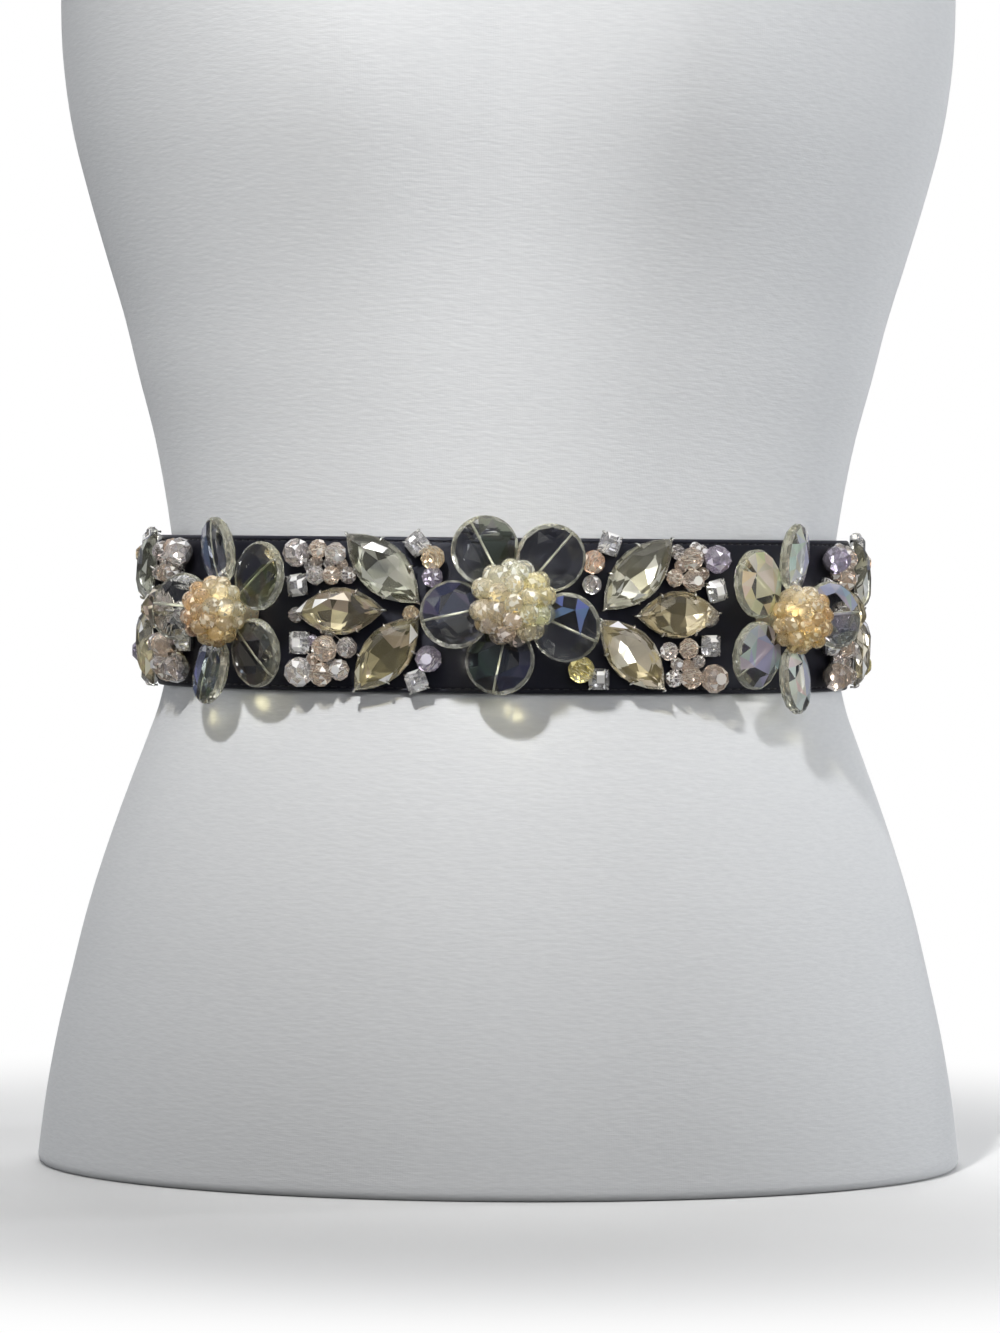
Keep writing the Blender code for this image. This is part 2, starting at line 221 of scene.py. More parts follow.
def loftShape(rings, smooth=True):  # rings of points joined in turn, and closed at both ends
    cut = bmesh.new()
    loops = [[cut.verts.new(point) for point in ring] for ring in rings]
    for lower, upper in zip(loops, loops[1:]):
        for here in range(len(lower)):
            after = (here + 1) % len(lower)
            cut.faces.new((lower[here], lower[after], upper[after], upper[here]))
    cut.faces.new(list(reversed(loops[0])))
    cut.faces.new(loops[-1])
    bmesh.ops.recalc_face_normals(cut, faces=cut.faces)
    return shapeOf(cut, smooth=smooth)


def circle(radius, sides, height, start=0.0):
    steps = [2 * math.pi * (side + start) / sides for side in range(sides)]
    return [Vector((radius * math.cos(step), radius * math.sin(step), height)) for step in steps]


def turnedShape(profile, sides):
    return loftShape([circle(radius, sides, height) for radius, height in profile])


def tubeFaces(rows, count):  # quads round a tube of points, and a face over each end
    faces = []
    for low in range(0, (rows - 1) * count, count):
        for here in range(count):
            after = (here + 1) % count
            faces.append((low + here, low + after, low + count + after, low + count + here))
    return [*faces, tuple(reversed(range(count))), tuple(range((rows - 1) * count, rows * count))]


def middleOf(shape, face):
    return sum((shape["points"][corner] for corner in face), Vector()) / len(face)


def rodShape(start, end, radius, sides=8):
    run = end - start
    place = Matrix.Translation(start) @ run.to_track_quat("Z", "Y").to_matrix().to_4x4()
    end, rounding = 0.55, radius * 0.25
    levels = [0.0, rounding, run.length - rounding, run.length]
    return loftShape([[place @ point for point in circle(radius * share, sides, level)]
                      for share, level in zip((end, 1.0, 1.0, end), levels)])


# Nodes


def addNode(tree, kind, inputs=(), **settings):  # an input is a plain value or another node's output
    node = tree.nodes.new(kind)
    for name, value in settings.items():
        setattr(node, name, value)
    for label, value in dict(inputs).items():
        if isinstance(value, bpy.types.NodeSocket):
            tree.links.new(value, node.inputs[label])
        else:
            node.inputs[label].default_value = value
    return node


def mathNode(tree, operation, *values):
    return addNode(tree, "ShaderNodeMath", dict(enumerate(values)), operation=operation).outputs["Value"]


def waveNode(tree, value):  # a row of equal humps, one for each step of 1
    return mathNode(tree, "ABSOLUTE", mathNode(tree, "SINE", mathNode(tree, "MULTIPLY", value, math.pi)))


def lengthNode(tree, vector):
    return addNode(tree, "ShaderNodeVectorMath", {0: vector}, operation="LENGTH").outputs["Value"]


def fadeNode(tree, value, start, end):  # 0 at the start, 1 at the end, and soft between
    return addNode(tree, "ShaderNodeMapRange", {"Value": value, "From Min": start, "From Max": end},
                   interpolation_type="SMOOTHSTEP").outputs["Result"]


def blendNode(tree, part, first, second):
    return addNode(tree, "ShaderNodeMix", {"Factor": part, "A": first, "B": second},
                   data_type="RGBA").outputs["Result"]


def mixNode(tree, part, first, second):
    return addNode(tree, "ShaderNodeMixShader", {"Fac": part, 1: first, 2: second}).outputs["Shader"]


# Geometry Nodes: one tree sets pieces out on points, one sews stitches along a line


def addSockets(tree, inputs, outputs):
    for label, kind, *value in inputs:
        socket = tree.interface.new_socket(label, in_out="INPUT", socket_type="NodeSocket" + kind)
        if value:
            socket.default_value = value[0]
    for label, kind in outputs:
        tree.interface.new_socket(label, in_out="OUTPUT", socket_type="NodeSocket" + kind)
    return tree.nodes.new("NodeGroupInput").outputs, tree.nodes.new("NodeGroupOutput").inputs


def newTree(name, sockets):
    tree = bpy.data.node_groups.new(name, "GeometryNodeTree")
    return tree, *addSockets(tree, [("Geometry", "Geometry"), *sockets], [("Geometry", "Geometry")])


def endTree(tree, given, wanted, instances):  # realized, and given the finish
    realize = addNode(tree, "GeometryNodeRealizeInstances", {"Geometry": instances})
    paint = addNode(tree, "GeometryNodeSetMaterial", {
        "Geometry": realize.outputs["Geometry"], "Material": given["Finish"]})
    tree.links.new(paint.outputs["Geometry"], wanted["Geometry"])
    return tree


def makeSetOutTree():
    tree, given, wanted = newTree("setOut", [("Piece", "Object"), ("Size", "Float"), ("Wobble", "Float"),
                                             ("Seed", "Int"), ("Finish", "Material")])
    pick = addNode(tree, "GeometryNodeObjectInfo", {"Object": given["Piece"]})
    facing = addNode(tree, "GeometryNodeInputNamedAttribute", {"Name": "facing"}, data_type="FLOAT_VECTOR")
    sizes = addNode(tree, "GeometryNodeInputNamedAttribute", {"Name": "size"}, data_type="FLOAT")
    wobble = addNode(tree, "FunctionNodeRandomValue", {
        "Min": mathNode(tree, "MULTIPLY", given["Wobble"], -1.0), "Max": given["Wobble"],
        "Seed": given["Seed"]}, data_type="FLOAT_VECTOR")
    put = addNode(tree, "GeometryNodeInstanceOnPoints", {
        "Points": given["Geometry"], "Instance": pick.outputs["Geometry"],
        "Rotation": facing.outputs["Attribute"],
        "Scale": mathNode(tree, "MULTIPLY", sizes.outputs["Attribute"], given["Size"])})
    rock = addNode(tree, "GeometryNodeRotateInstances", {
        "Instances": put.outputs["Instances"], "Rotation": wobble.outputs["Value"]})
    return endTree(tree, given, wanted, rock.outputs["Instances"])


def makeStitchTree():
    tree, given, wanted = newTree("sewAlong", [("Piece", "Object"), ("Spacing", "Float"),
                                               ("Finish", "Material")])
    pick = addNode(tree, "GeometryNodeObjectInfo", {"Object": given["Piece"]})
    space = addNode(tree, "GeometryNodeResampleCurve", {
        "Curve": given["Geometry"], "Length": given["Spacing"]}, mode="LENGTH")
    run = addNode(tree, "GeometryNodeInputTangent")
    align = addNode(tree, "FunctionNodeAlignRotationToVector", {"Vector": run.outputs["Tangent"]}, axis="X")
    put = addNode(tree, "GeometryNodeInstanceOnPoints", {
        "Points": space.outputs["Curve"], "Instance": pick.outputs["Geometry"],
        "Rotation": align.outputs["Rotation"]})
    return endTree(tree, given, wanted, put.outputs["Instances"])


setOutTree = makeSetOutTree()
stitchTree = makeStitchTree()


def grow(name, carrier, tree, shape, values):  # runs a tree on its carrier and keeps a plain mesh
    pattern = makePattern(shape)
    values = {**values, "Piece": pattern}
    modifier = carrier.modifiers.new(tree.name, "NODES")
    modifier.node_group = tree
    for item in tree.interface.items_tree:
        if item.item_type == "SOCKET" and item.in_out == "INPUT" and item.name in values:
            modifier[item.identifier] = values[item.name]
    bpy.context.view_layer.update()
    evaluated = carrier.evaluated_get(bpy.context.evaluated_depsgraph_get())
    mesh = bpy.data.meshes.new_from_object(evaluated)
    mesh.name = name
    bpy.data.objects.remove(carrier)
    bpy.data.objects.remove(pattern)
    return addObject(name, mesh)


def setOut(name, shape, rows, finish, size=1.0, wobble=0.0, seed=1):  # a row is a place, size and tint
    mesh = makeMesh("carrier", [place.translation for place, _, _ in rows], [])
    addAttribute(mesh, "facing", "FLOAT_VECTOR", [turn for row in rows for turn in row[0].to_euler("XYZ")])
    addAttribute(mesh, "size", "FLOAT", [row[1] for row in rows])
    addAttribute(mesh, "tint", "FLOAT_COLOR", [part for row in rows for part in opaque(row[2])])
    return grow(name, addObject("carrier", mesh), setOutTree, shape,
                {"Size": size, "Wobble": wobble, "Seed": seed, "Finish": finish})


# Materials

cloth = {
    "wale": 0.00074,
    "course": 0.00062,
    "loopLean": 1.3,
    "loopHeight": 0.35,
    "knitHeight": 0.10,
    "jerseyLift": 0.00005,
    "jerseyShader": {"Roughness": 0.88, "Sheen Weight": 0.25, "Sheen Roughness": 0.45,
                     "Specular IOR Level": 0.25},
    "jerseyTones": ((0.700, 0.709, 0.722), (0.655, 0.665, 0.680), 230.0),       # light, dark, scale
    "slubStretch": (1.0, 1.0, 4.5),
    "thread": 0.00022,
    "float": 0.0012,
    "floatStep": 0.4,        # share of a float that each row steps over by
    "floatDip": 0.2,
    "satinLift": 0.00003,
    "satinShader": {"Sheen Weight": 0.06, "Sheen Roughness": 0.35, "Specular IOR Level": 0.32,
                    "Specular Tint": (0.82, 0.86, 1.0, 1.0)},
    "satinTones": ((0.0090, 0.0090, 0.0150), (0.0060, 0.0060, 0.0100), 60.0),
    "satinRoughness": (0.10, 0.34),     # cloudy part, and the least
    "cloudGain": 2.2,
    "cloudStart": -0.6,
}
lens = {
    "spot": (0.14, 0.40),    # shares of a petal's radius: its bright spot ends, its shadow is full
    "middle": (4.6, 4.5, 3.9),
    "shade": (0.26, 0.24, 0.15),
}


def shaderGroup(name, inputs, outputs):
    group = bpy.data.node_groups.new(name, "ShaderNodeTree")
    return group, *addSockets(group, [("Vector", "Vector", (0.0, 0.0, 0.0)), *inputs], outputs)


def makeKnitGroup():  # V-shaped loops in wales and courses, from a UV map in metres
    group, given, wanted = shaderGroup("fineKnit", [("Wale", "Float", 0.001), ("Course", "Float", 0.001)],
                                       [("Height", "Float")])
    split = addNode(group, "ShaderNodeSeparateXYZ", {"Vector": given["Vector"]}).outputs
    across = mathNode(group, "DIVIDE", split["X"], given["Wale"])
    rise = mathNode(group, "DIVIDE", split["Y"], given["Course"])
    lean = mathNode(group, "PINGPONG", across, 0.5)
    slope = mathNode(group, "MULTIPLY_ADD", lean, cloth["loopLean"], rise)
    loop = mathNode(group, "SINE", mathNode(group, "MULTIPLY", slope, 2 * math.pi))
    height = mathNode(group, "MULTIPLY_ADD", loop, cloth["loopHeight"], waveNode(group, across))
    group.links.new(height, wanted["Height"])
    return group


def makeWeaveGroup():  # satin: long floats that step over by one thread in each row
    group, given, wanted = shaderGroup("satinWeave", [("Thread", "Float", 0.0002), ("Float", "Float", 0.001)],
                                       [("Height", "Float")])
    split = addNode(group, "ShaderNodeSeparateXYZ", {"Vector": given["Vector"]}).outputs
    row = mathNode(group, "DIVIDE", split["Y"], given["Thread"])
    step = mathNode(group, "MULTIPLY", mathNode(group, "FLOOR", row), cloth["floatStep"])
    along = mathNode(group, "ADD", mathNode(group, "DIVIDE", split["X"], given["Float"]), step)
    dip = mathNode(group, "POWER", waveNode(group, along), cloth["floatDip"])
    group.links.new(mathNode(group, "MULTIPLY", waveNode(group, row), dip), wanted["Height"])
    return group


def makeMottleGroup():  # soft cloudy change of a colour
    group, given, wanted = shaderGroup("mottle", [
        ("Light", "Color", (1.0, 1.0, 1.0, 1.0)), ("Dark", "Color", (0.5, 0.5, 0.5, 1.0)),
        ("Scale", "Float", 100.0)], [("Color", "Color"), ("Value", "Float")])
    noise = addNode(group, "ShaderNodeTexNoise", {
        "Vector": given["Vector"], "Scale": given["Scale"], "Detail": 4.0})
    spread = mathNode(group, "MULTIPLY_ADD", noise.outputs["Fac"], cloth["cloudGain"], cloth["cloudStart"])
    cloud = addNode(group, "ShaderNodeClamp", {"Value": spread}).outputs["Result"]
    group.links.new(blendNode(group, cloud, given["Dark"], given["Light"]), wanted["Color"])
    group.links.new(cloud, wanted["Value"])
    return group


knitGroup = makeKnitGroup()
weaveGroup = makeWeaveGroup()
mottleGroup = makeMottleGroup()


def newMaterial(name, values):  # the material, its nodes and its shader's inputs
    material = bpy.data.materials.new(name)
    material.use_nodes = True
    tree = material.node_tree
    shader = tree.nodes["Principled BSDF"].inputs
    for label, value in values.items():
        shader[label].default_value = value
    return material, tree, shader


def whereNode(tree, kind="Object"):
    return addNode(tree, "ShaderNodeTexCoord").outputs[kind]


def addBump(tree, shader, height, distance):
    bump = addNode(tree, "ShaderNodeBump", {"Height": height, "Distance": distance, "Strength": 1.0})
    tree.links.new(bump.outputs["Normal"], shader["Normal"])


def addMottle(tree, shader, place, light, dark, scale):  # colours the shader, and gives the cloud's value
    mottle = addNode(tree, "ShaderNodeGroup", node_tree=mottleGroup)
    for label, value in (("Light", opaque(light)), ("Dark", opaque(dark)), ("Scale", scale)):
        mottle.inputs[label].default_value = value
    tree.links.new(place, mottle.inputs["Vector"])
    tree.links.new(mottle.outputs["Color"], shader["Base Color"])
    return mottle.outputs["Value"]


def addPattern(tree, group, values):  # a cloth pattern's height, over the piece's own UV map
    pattern = addNode(tree, "ShaderNodeGroup", node_tree=group)
    for label, value in values.items():
        pattern.inputs[label].default_value = value
    tree.links.new(whereNode(tree, "UV"), pattern.inputs["Vector"])
    return pattern.outputs["Height"]


def readTint(tree, shader):  # each facet's own colour
    tint = addNode(tree, "ShaderNodeAttribute", attribute_name="tint")
    tree.links.new(tint.outputs["Color"], shader["Base Color"])


def letLampsThrough(tree, shade, middle):  # glass throws a tinted shadow, a lens a bright spot
    colour = opaque(shade)
    if middle:
        spot = addNode(tree, "ShaderNodeAttribute", attribute_name="spot")
        fade = fadeNode(tree, lengthNode(tree, spot.outputs["Vector"]), *lens["spot"])
        colour = blendNode(tree, fade, opaque(middle), opaque(shade))
    clear = addNode(tree, "ShaderNodeBsdfTransparent", {"Color": colour})
    shadow = addNode(tree, "ShaderNodeLightPath").outputs["Is Shadow Ray"]
    shown = tree.nodes["Principled BSDF"].outputs["BSDF"]
    tree.links.new(mixNode(tree, shadow, shown, clear.outputs["BSDF"]),
                   tree.nodes["Material Output"].inputs["Surface"])


def makeJersey():
    material, tree, shader = newMaterial("jersey", cloth["jerseyShader"])
    squeeze = addNode(tree, "ShaderNodeMapping", {"Vector": whereNode(tree), "Scale": cloth["slubStretch"]})
    slub = addMottle(tree, shader, squeeze.outputs["Vector"], *cloth["jerseyTones"])
    knit = addPattern(tree, knitGroup, {"Wale": cloth["wale"], "Course": cloth["course"]})
    height = mathNode(tree, "MULTIPLY_ADD", knit, cloth["knitHeight"], slub)
    addBump(tree, shader, height, cloth["jerseyLift"])
    return material


def makeSatin():
    material, tree, shader = newMaterial("satin", cloth["satinShader"])
    cloud = addMottle(tree, shader, whereNode(tree), *cloth["satinTones"])
    tree.links.new(mathNode(tree, "MULTIPLY_ADD", cloud, *cloth["satinRoughness"]), shader["Roughness"])
    weave = addPattern(tree, weaveGroup, {"Thread": cloth["thread"], "Float": cloth["float"]})
    addBump(tree, shader, weave, cloth["satinLift"])
    return material


def makeGlass(name, clear, bend, roughness, shadow, middle=None):
    material, tree, shader = newMaterial(name, {
        "Roughness": roughness, "Transmission Weight": clear, "IOR": bend})
    readTint(tree, shader)
    letLampsThrough(tree, shadow, middle)
    return material


def makeFoil(name, metal, roughness, coat=0.03):  # the mirror behind a stone, or a painted white highlight
    material, tree, shader = newMaterial(name, {
        "Metallic": metal, "Roughness": roughness, "Coat Weight": 1.0 - metal, "Coat Roughness": coat})
    readTint(tree, shader)
    return material


def makeMetal(name, light, dark, roughness, scale, wear=0.12):
    material, tree, shader = newMaterial(name, {"Metallic": 1.0})
    cloud = addMottle(tree, shader, whereNode(tree), light, dark, scale)
    tree.links.new(mathNode(tree, "MULTIPLY_ADD", cloud, -wear, roughness + wear), shader["Roughness"])
    return material


def makePlain(name, colour, values, scale, lift, darker=0.72):  # thread, and the frosted walls of holes
    material, tree, shader = newMaterial(name, values)
    grain = addMottle(tree, shader, whereNode(tree), colour, [part * darker for part in colour], scale)
    addBump(tree, shader, grain, lift)
    return material


jersey = makeJersey()
satin = makeSatin()
petalGlass = makeGlass("petalGlass", 1.0, 1.50, 0.01, lens["shade"], lens["middle"])
# the next glasses show a facet's tint as painted reflection and painted light refracted from the surroundings
reflectionPaintedGlass = makeGlass("reflectionPaintedGlass", 0.86, 1.50, 0.02, lens["shade"], lens["middle"])
# the rim glass shows its tint as painted light refracted from the surroundings
rimGlass = makeGlass("rimGlass", 0.80, 1.50, 0.02, lens["shade"])
refractionPaintedGlass = makeGlass("refractionPaintedGlass", 0.50, 1.50, 0.02, lens["shade"], lens["middle"])
domeGlass = makeGlass("domeGlass", 0.80, 1.70, 0.01, (0.60, 0.56, 0.38))
beadGlass = makeGlass("beadGlass", 0.92, 1.56, 0.01, (0.76, 0.74, 0.68))
leafGlass = makeGlass("leafGlass", 0.975, 1.60, 0.01, (0.74, 0.71, 0.60))
leafFoil = makeFoil("leafFoil", 0.68, 0.10)
stoneFoil = makeFoil("stoneFoil", 0.75, 0.10)
# painted highlight: a pale foil facet that stands for a lamp's glint
paintedGlint = makeFoil("paintedGlint", 0.25, 0.12)
silver = makeMetal("silver", (0.86, 0.85, 0.82), (0.66, 0.64, 0.60), 0.14, 900.0)
goldWire = makeMetal("goldWire", (0.96, 0.87, 0.66), (0.80, 0.66, 0.42), 0.24, 700.0)
frosted = makePlain("frostedHole", (0.50, 0.51, 0.46), {"Roughness": 0.3, "Specular IOR Level": 0.6},
                    900.0, 0.00004)
blackThread = makePlain("blackThread", (0.016, 0.016, 0.022), {"Roughness": 0.5, "Sheen Weight": 0.2},
                        4000.0, 0.00002)
clearThread = makePlain("clearThread", (0.62, 0.60, 0.55), {"Roughness": 0.3}, 3000.0, 0.00002)
print("materials made:", len(bpy.data.materials))

# Dress form

dressForm = {
    "columns": 192,
    "wales": 1216,
    "rowHeight": 0.0028,
    "edgeRadius": 0.003,
    "capRings": 6,
    "capRise": 0.0015,
    "bustLevel": 0.375,
    "bustRise": 0.062,
    "bustSide": 0.066,
    "bustSpread": 0.046,
    "bustSwell": 0.011,
    # height, half width, front depth, back depth
    "sections": [
        (0.0000, 0.1575, 0.1130, 0.1215),
        (0.0250, 0.1543, 0.1115, 0.1200),
        (0.0450, 0.1507, 0.1092, 0.1172),
        (0.0660, 0.1459, 0.1060, 0.1130),
        (0.0860, 0.1410, 0.1025, 0.1080),
        (0.1070, 0.1346, 0.0982, 0.1022),
        (0.1270, 0.1276, 0.0940, 0.0962),
        (0.1430, 0.1216, 0.0904, 0.0916),
        (0.1560, 0.1170, 0.0876, 0.0880),
        (0.1635, 0.1152, 0.0863, 0.0863),
        (0.1720, 0.1131, 0.0847, 0.0847),
        (0.1880, 0.1115, 0.0833, 0.0833),
        (0.2050, 0.1120, 0.0838, 0.0836),
        (0.2145, 0.1134, 0.0850, 0.0846),
        (0.2260, 0.1152, 0.0868, 0.0858),
        (0.2470, 0.1193, 0.0902, 0.0878),
        (0.2670, 0.1246, 0.0938, 0.0898),
        (0.2880, 0.1299, 0.0976, 0.0916),
        (0.3080, 0.1360, 0.1015, 0.0930),
        (0.3290, 0.1422, 0.1060, 0.0942),
        (0.3500, 0.1476, 0.1100, 0.0952),
        (0.3750, 0.1512, 0.1125, 0.0958),
        (0.4000, 0.1520, 0.1120, 0.0963),
        (0.4300, 0.1508, 0.1075, 0.0968),
        (0.4600, 0.1504, 0.1000, 0.0962),
        (0.4880, 0.1480, 0.0905, 0.0938),
        (0.5100, 0.1405, 0.0818, 0.0892),
        (0.5270, 0.1270, 0.0748, 0.0830),
        (0.5420, 0.1075, 0.0680, 0.0755),
        (0.5560, 0.0845, 0.0617, 0.0675),
        (0.5700, 0.0655, 0.0565, 0.0600),
        (0.5860, 0.0562, 0.0542, 0.0560),
        (0.6100, 0.0538, 0.0530, 0.0545),
        (0.6280, 0.0518, 0.0512, 0.0525),
        (0.6370, 0.0465, 0.0460, 0.0472),
        (0.6400, 0.0400, 0.0396, 0.0406),
    ],
}


def smoothColumn(heights, values, wanted):  # a smooth curve through a table's column
    slopes = np.gradient(values, heights)
    index = np.clip(np.searchsorted(heights, wanted, side="right") - 1, 0, len(heights) - 2)
    span = heights[index + 1] - heights[index]
    part = (wanted - heights[index]) / span
    square, cube = part ** 2, part ** 3
    return ((2 * cube - 3 * square + 1) * values[index] + (cube - 2 * square + part) * span * slopes[index]
            + (3 * square - 2 * cube) * values[index + 1] + (cube - square) * span * slopes[index + 1])


def formRing(height, wide, front, back, share=1.0):
    angles = np.arange(dressForm["columns"]) / dressForm["columns"] * 2 * math.pi
    x = wide * np.sin(angles)
    ahead = np.cos(angles)
    y = np.where(ahead > 0, -front * ahead, -back * ahead)
    level = math.exp(-((height - dressForm["bustLevel"]) / dressForm["bustRise"]) ** 2)
    swell = np.exp(-((np.abs(x) - dressForm["bustSide"]) / dressForm["bustSpread"]) ** 2)
    y -= dressForm["bustSwell"] * level * np.clip(ahead, 0.0, 1.0) * swell
    return np.stack([x * share, y * share, np.full_like(x, height)], axis=1)


def makeDressForm():
    table = np.array(dressForm["sections"])
    top = table[-1, 0]
    edge = dressForm["edgeRadius"]
    count = dressForm["columns"]
    levels = [edge * (1 - math.cos(math.radians(step))) for step in (0, 30, 60)]
    levels += list(np.linspace(edge, top, int(top / dressForm["rowHeight"])))
    rows = []
    for level in levels:
        sizes = [float(smoothColumn(table[:, 0], table[:, column], level)) for column in (1, 2, 3)]
        inset = edge - math.sqrt(max(edge ** 2 - max(edge - level, 0.0) ** 2, 0.0))
        rows.append(formRing(level, *[size - inset for size in sizes]))
    for ring in range(1, dressForm["capRings"]):
        share = 1 - ring / dressForm["capRings"]
        rows.append(formRing(top + dressForm["capRise"] * (1 - share ** 2), *table[-1][1:], share=share))
    mesh = makeMesh("dressForm", np.concatenate(rows).tolist(), tubeFaces(len(rows), count), [jersey])
    mesh.shade_smooth()
    unwrap = mesh.uv_layers.new(name="cloth")
    girths = cloth["wale"] * dressForm["wales"]
    for face in mesh.polygons:
        columns = [(mesh.loops[loop].vertex_index + count // 2) % count for loop in face.loop_indices]
        wraps = max(columns) - min(columns) > count / 2
        for loop, column in zip(face.loop_indices, columns):
            across = column + count if wraps and column == 0 else column
            height = mesh.vertices[mesh.loops[loop].vertex_index].co.z
            unwrap.data[loop].uv = (across / count * girths, height)
    piece = addObject("dressForm", mesh)
    settle(piece, "jersey", "dress_form")
    return piece


formPiece = makeDressForm()
print("dress form made:", len(formPiece.data.polygons), "faces")

# Satin band

satinBand = {
    "stations": 460,
    "foldSteps": 8,
    "faceSteps": 22,
    "lapLength": 0.030,
    "lapRamp": 0.034,
    "lapRise": 0.0045,       # the band, the snaps and two gaps
    "hemInset": 0.0016,
    "hemDepth": 0.00028,
    "hemWidth": 0.00030,
    "hemSteps": 9,
    "backSteps": 8,
    "sharpFrom": 50.0,
    "stitchSpacing": 0.0032,
    "stitchLength": 0.0019,
    "stitchRadius": 0.00014,
    "stitchSides": 6,
    "stitchLifts": (0.8, 0.3),          # shares of the radius: along the hems, and up the lap's end
    "endInset": 0.003,
    "endMargin": 0.002,
    "endSteps": 30,
    # soft troughs in the cloth: along, up, half length, half height, lean in degrees, depth
    "creases": [
        (0.176, 0.006, 0.0030, 0.0150, 18.0, 0.00030),
        (0.205, -0.008, 0.0040, 0.0130, -24.0, 0.00026),
        (0.243, 0.004, 0.0028, 0.0170, 10.0, 0.00034),
        (0.281, -0.004, 0.0046, 0.0140, -14.0, 0.00028),
        (-0.181, -0.005, 0.0034, 0.0140, -16.0, 0.00030),
        (-0.222, 0.007, 0.0040, 0.0120, 22.0, 0.00024),
        (-0.262, -0.002, 0.0030, 0.0160, -9.0, 0.00032),
        (-0.301, 0.005, 0.0036, 0.0130, 15.0, 0.00026),
    ],
}
lapEnd = girth / 2 + satinBand["lapLength"] / 2


def lapOffset(along):  # the outer end stands off, to lap over the inner end
    start = girth / 2 - satinBand["lapLength"] / 2 - satinBand["lapRamp"]
    part = min(max((along - start) / satinBand["lapRamp"], 0.0), 1.0)
    return satinBand["lapRise"] * part * part * (3 - 2 * part)


def creaseDip(along, up):
    dip = 0.0
    for middle, level, length, height, lean, depth in satinBand["creases"]:
        across = along - middle - math.tan(math.radians(lean)) * (up - level)
        dip += depth * math.exp(-(across / length) ** 2 - ((up - level) / height) ** 2)
    return dip


def bandProfile():  # out, up, and whether the point lies on the outer face
    half = sash["thickness"] / 2
    straight = sash["height"] / 2 - half
    hem = sash["height"] / 2 - satinBand["hemInset"]
    near = np.linspace(-2, 2, satinBand["hemSteps"]) * satinBand["hemWidth"]
    ups = np.linspace(-straight, straight, satinBand["faceSteps"])
    ups = np.unique(np.concatenate([ups, hem + near, -hem + near]).round(6))
    ups = ups[np.abs(ups) <= straight]
    dips = [satinBand["hemDepth"] * math.exp(-((abs(up) - hem) / satinBand["hemWidth"]) ** 2) for up in ups]
    profile = [(-dip, float(up), 1.0) for dip, up in zip(dips, ups)]
    back = [(-2 * half, float(up), 0.0) for up in np.linspace(straight, -straight, satinBand["backSteps"])]
    for edge, start, face in ((straight, 0.0, back), (-straight, math.pi, [])):
        for step in range(1, satinBand["foldSteps"]):
            turn = start + math.pi * step / satinBand["foldSteps"]
            profile.append((-half + half * math.cos(turn), edge + half * math.sin(turn), 0.0))
        profile += face
    return profile


def makeBand():
    profile = bandProfile()
    lengths = [0.0]
    for (outA, upA, _), (outB, upB, _) in zip(profile, profile[1:]):
        lengths.append(lengths[-1] + math.hypot(outB - outA, upB - upA))
    points, spots = [], []
    for along in np.linspace(-lapEnd, lapEnd, satinBand["stations"]).tolist():
        for (out, up, outer), length in zip(profile, lengths):
            dip = creaseDip(along, up) * outer
            points.append(bandFrame(along, up, out + lapOffset(along) - dip).translation)
            spots.append((along, length))
    faces = tubeFaces(satinBand["stations"], len(profile))
    outward = [(face[0], *reversed(face[1:])) for face in faces]
    mesh = makeMesh("band", points, outward, [satin])
    mesh.shade_smooth()
    mesh.set_sharp_from_angle(angle=math.radians(satinBand["sharpFrom"]))
    unwrap = mesh.uv_layers.new(name="cloth")
    for loop in mesh.loops:
        unwrap.data[loop.index].uv = spots[loop.vertex_index]
    return addObject("satinBand", mesh)


def makeStitches():  # one small stitch sewn along both hems and up the lap's end
    half = Vector((satinBand["stitchLength"] / 2, 0.0, 0.0))
    rod = rodShape(-half, half, satinBand["stitchRadius"], satinBand["stitchSides"])
    sunk, flat = (satinBand["stitchRadius"] * share for share in satinBand["stitchLifts"])
    reach = lapEnd - satinBand["endInset"]
    hem = sash["height"] / 2 - satinBand["hemInset"]
    alongs = np.linspace(-reach, reach, satinBand["stations"]).tolist()
    lines = [[bandFrame(along, up, sunk - satinBand["hemDepth"] + lapOffset(along)).translation
              for along in alongs] for up in (-hem, hem)]
    end = hem - satinBand["endMargin"]
    lines.append([bandFrame(reach, up, flat + lapOffset(reach)).translation
                  for up in np.linspace(-end, end, satinBand["endSteps"])])
    data = bpy.data.curves.new("seamLines", "CURVE")
    data.dimensions = "3D"
    for line in lines:
        spline = data.splines.new("POLY")
        spline.points.add(len(line) - 1)
        for point, place in zip(spline.points, line):
            point.co = (*place, 1.0)
    return grow("hemStitches", addObject("seamLines", data), stitchTree, rod,
                {"Spacing": satinBand["stitchSpacing"], "Finish": blackThread})


bandPiece = makeBand()
stitchPiece = makeStitches()
settle(bandPiece, "satin", "band")
settle(stitchPiece, "satin")
print("band made:", len(bandPiece.data.polygons), "faces, stitches", len(stitchPiece.data.polygons))

# Snaps in the lap

snap = {
    "radius": 0.0045,
    "thickness": 0.0020,
    "up": 0.0125,
    "sides": 32,
    # share of the radius, share of the thickness
    "profile": [(0.90, 0.0), (1.0, 0.06), (1.0, 0.30), (0.94, 0.38), (0.74, 0.42), (0.70, 0.50),
                (0.74, 0.58), (0.94, 0.62), (1.0, 0.70), (1.0, 0.94), (0.90, 1.0), (0.30, 1.0)],
}


def makeSnaps():
    profile = [(snap["radius"] * share, snap["thickness"] * height) for share, height in snap["profile"]]
    shape = turnedShape(profile, snap["sides"])
    for name, up in (("upper", snap["up"]), ("lower", -snap["up"])):
        heap = newHeap()
        addShape(heap, shape, bandFrame(girth / 2, up, sash["gap"]))
        settle(makePiece(f"snapPair_{name}", heap, [silver]), "silver", f"snap_{name}")


makeSnaps()
print("snaps made")

# Flowers: coin-bead petals round a wired stem, and a dome of small beads

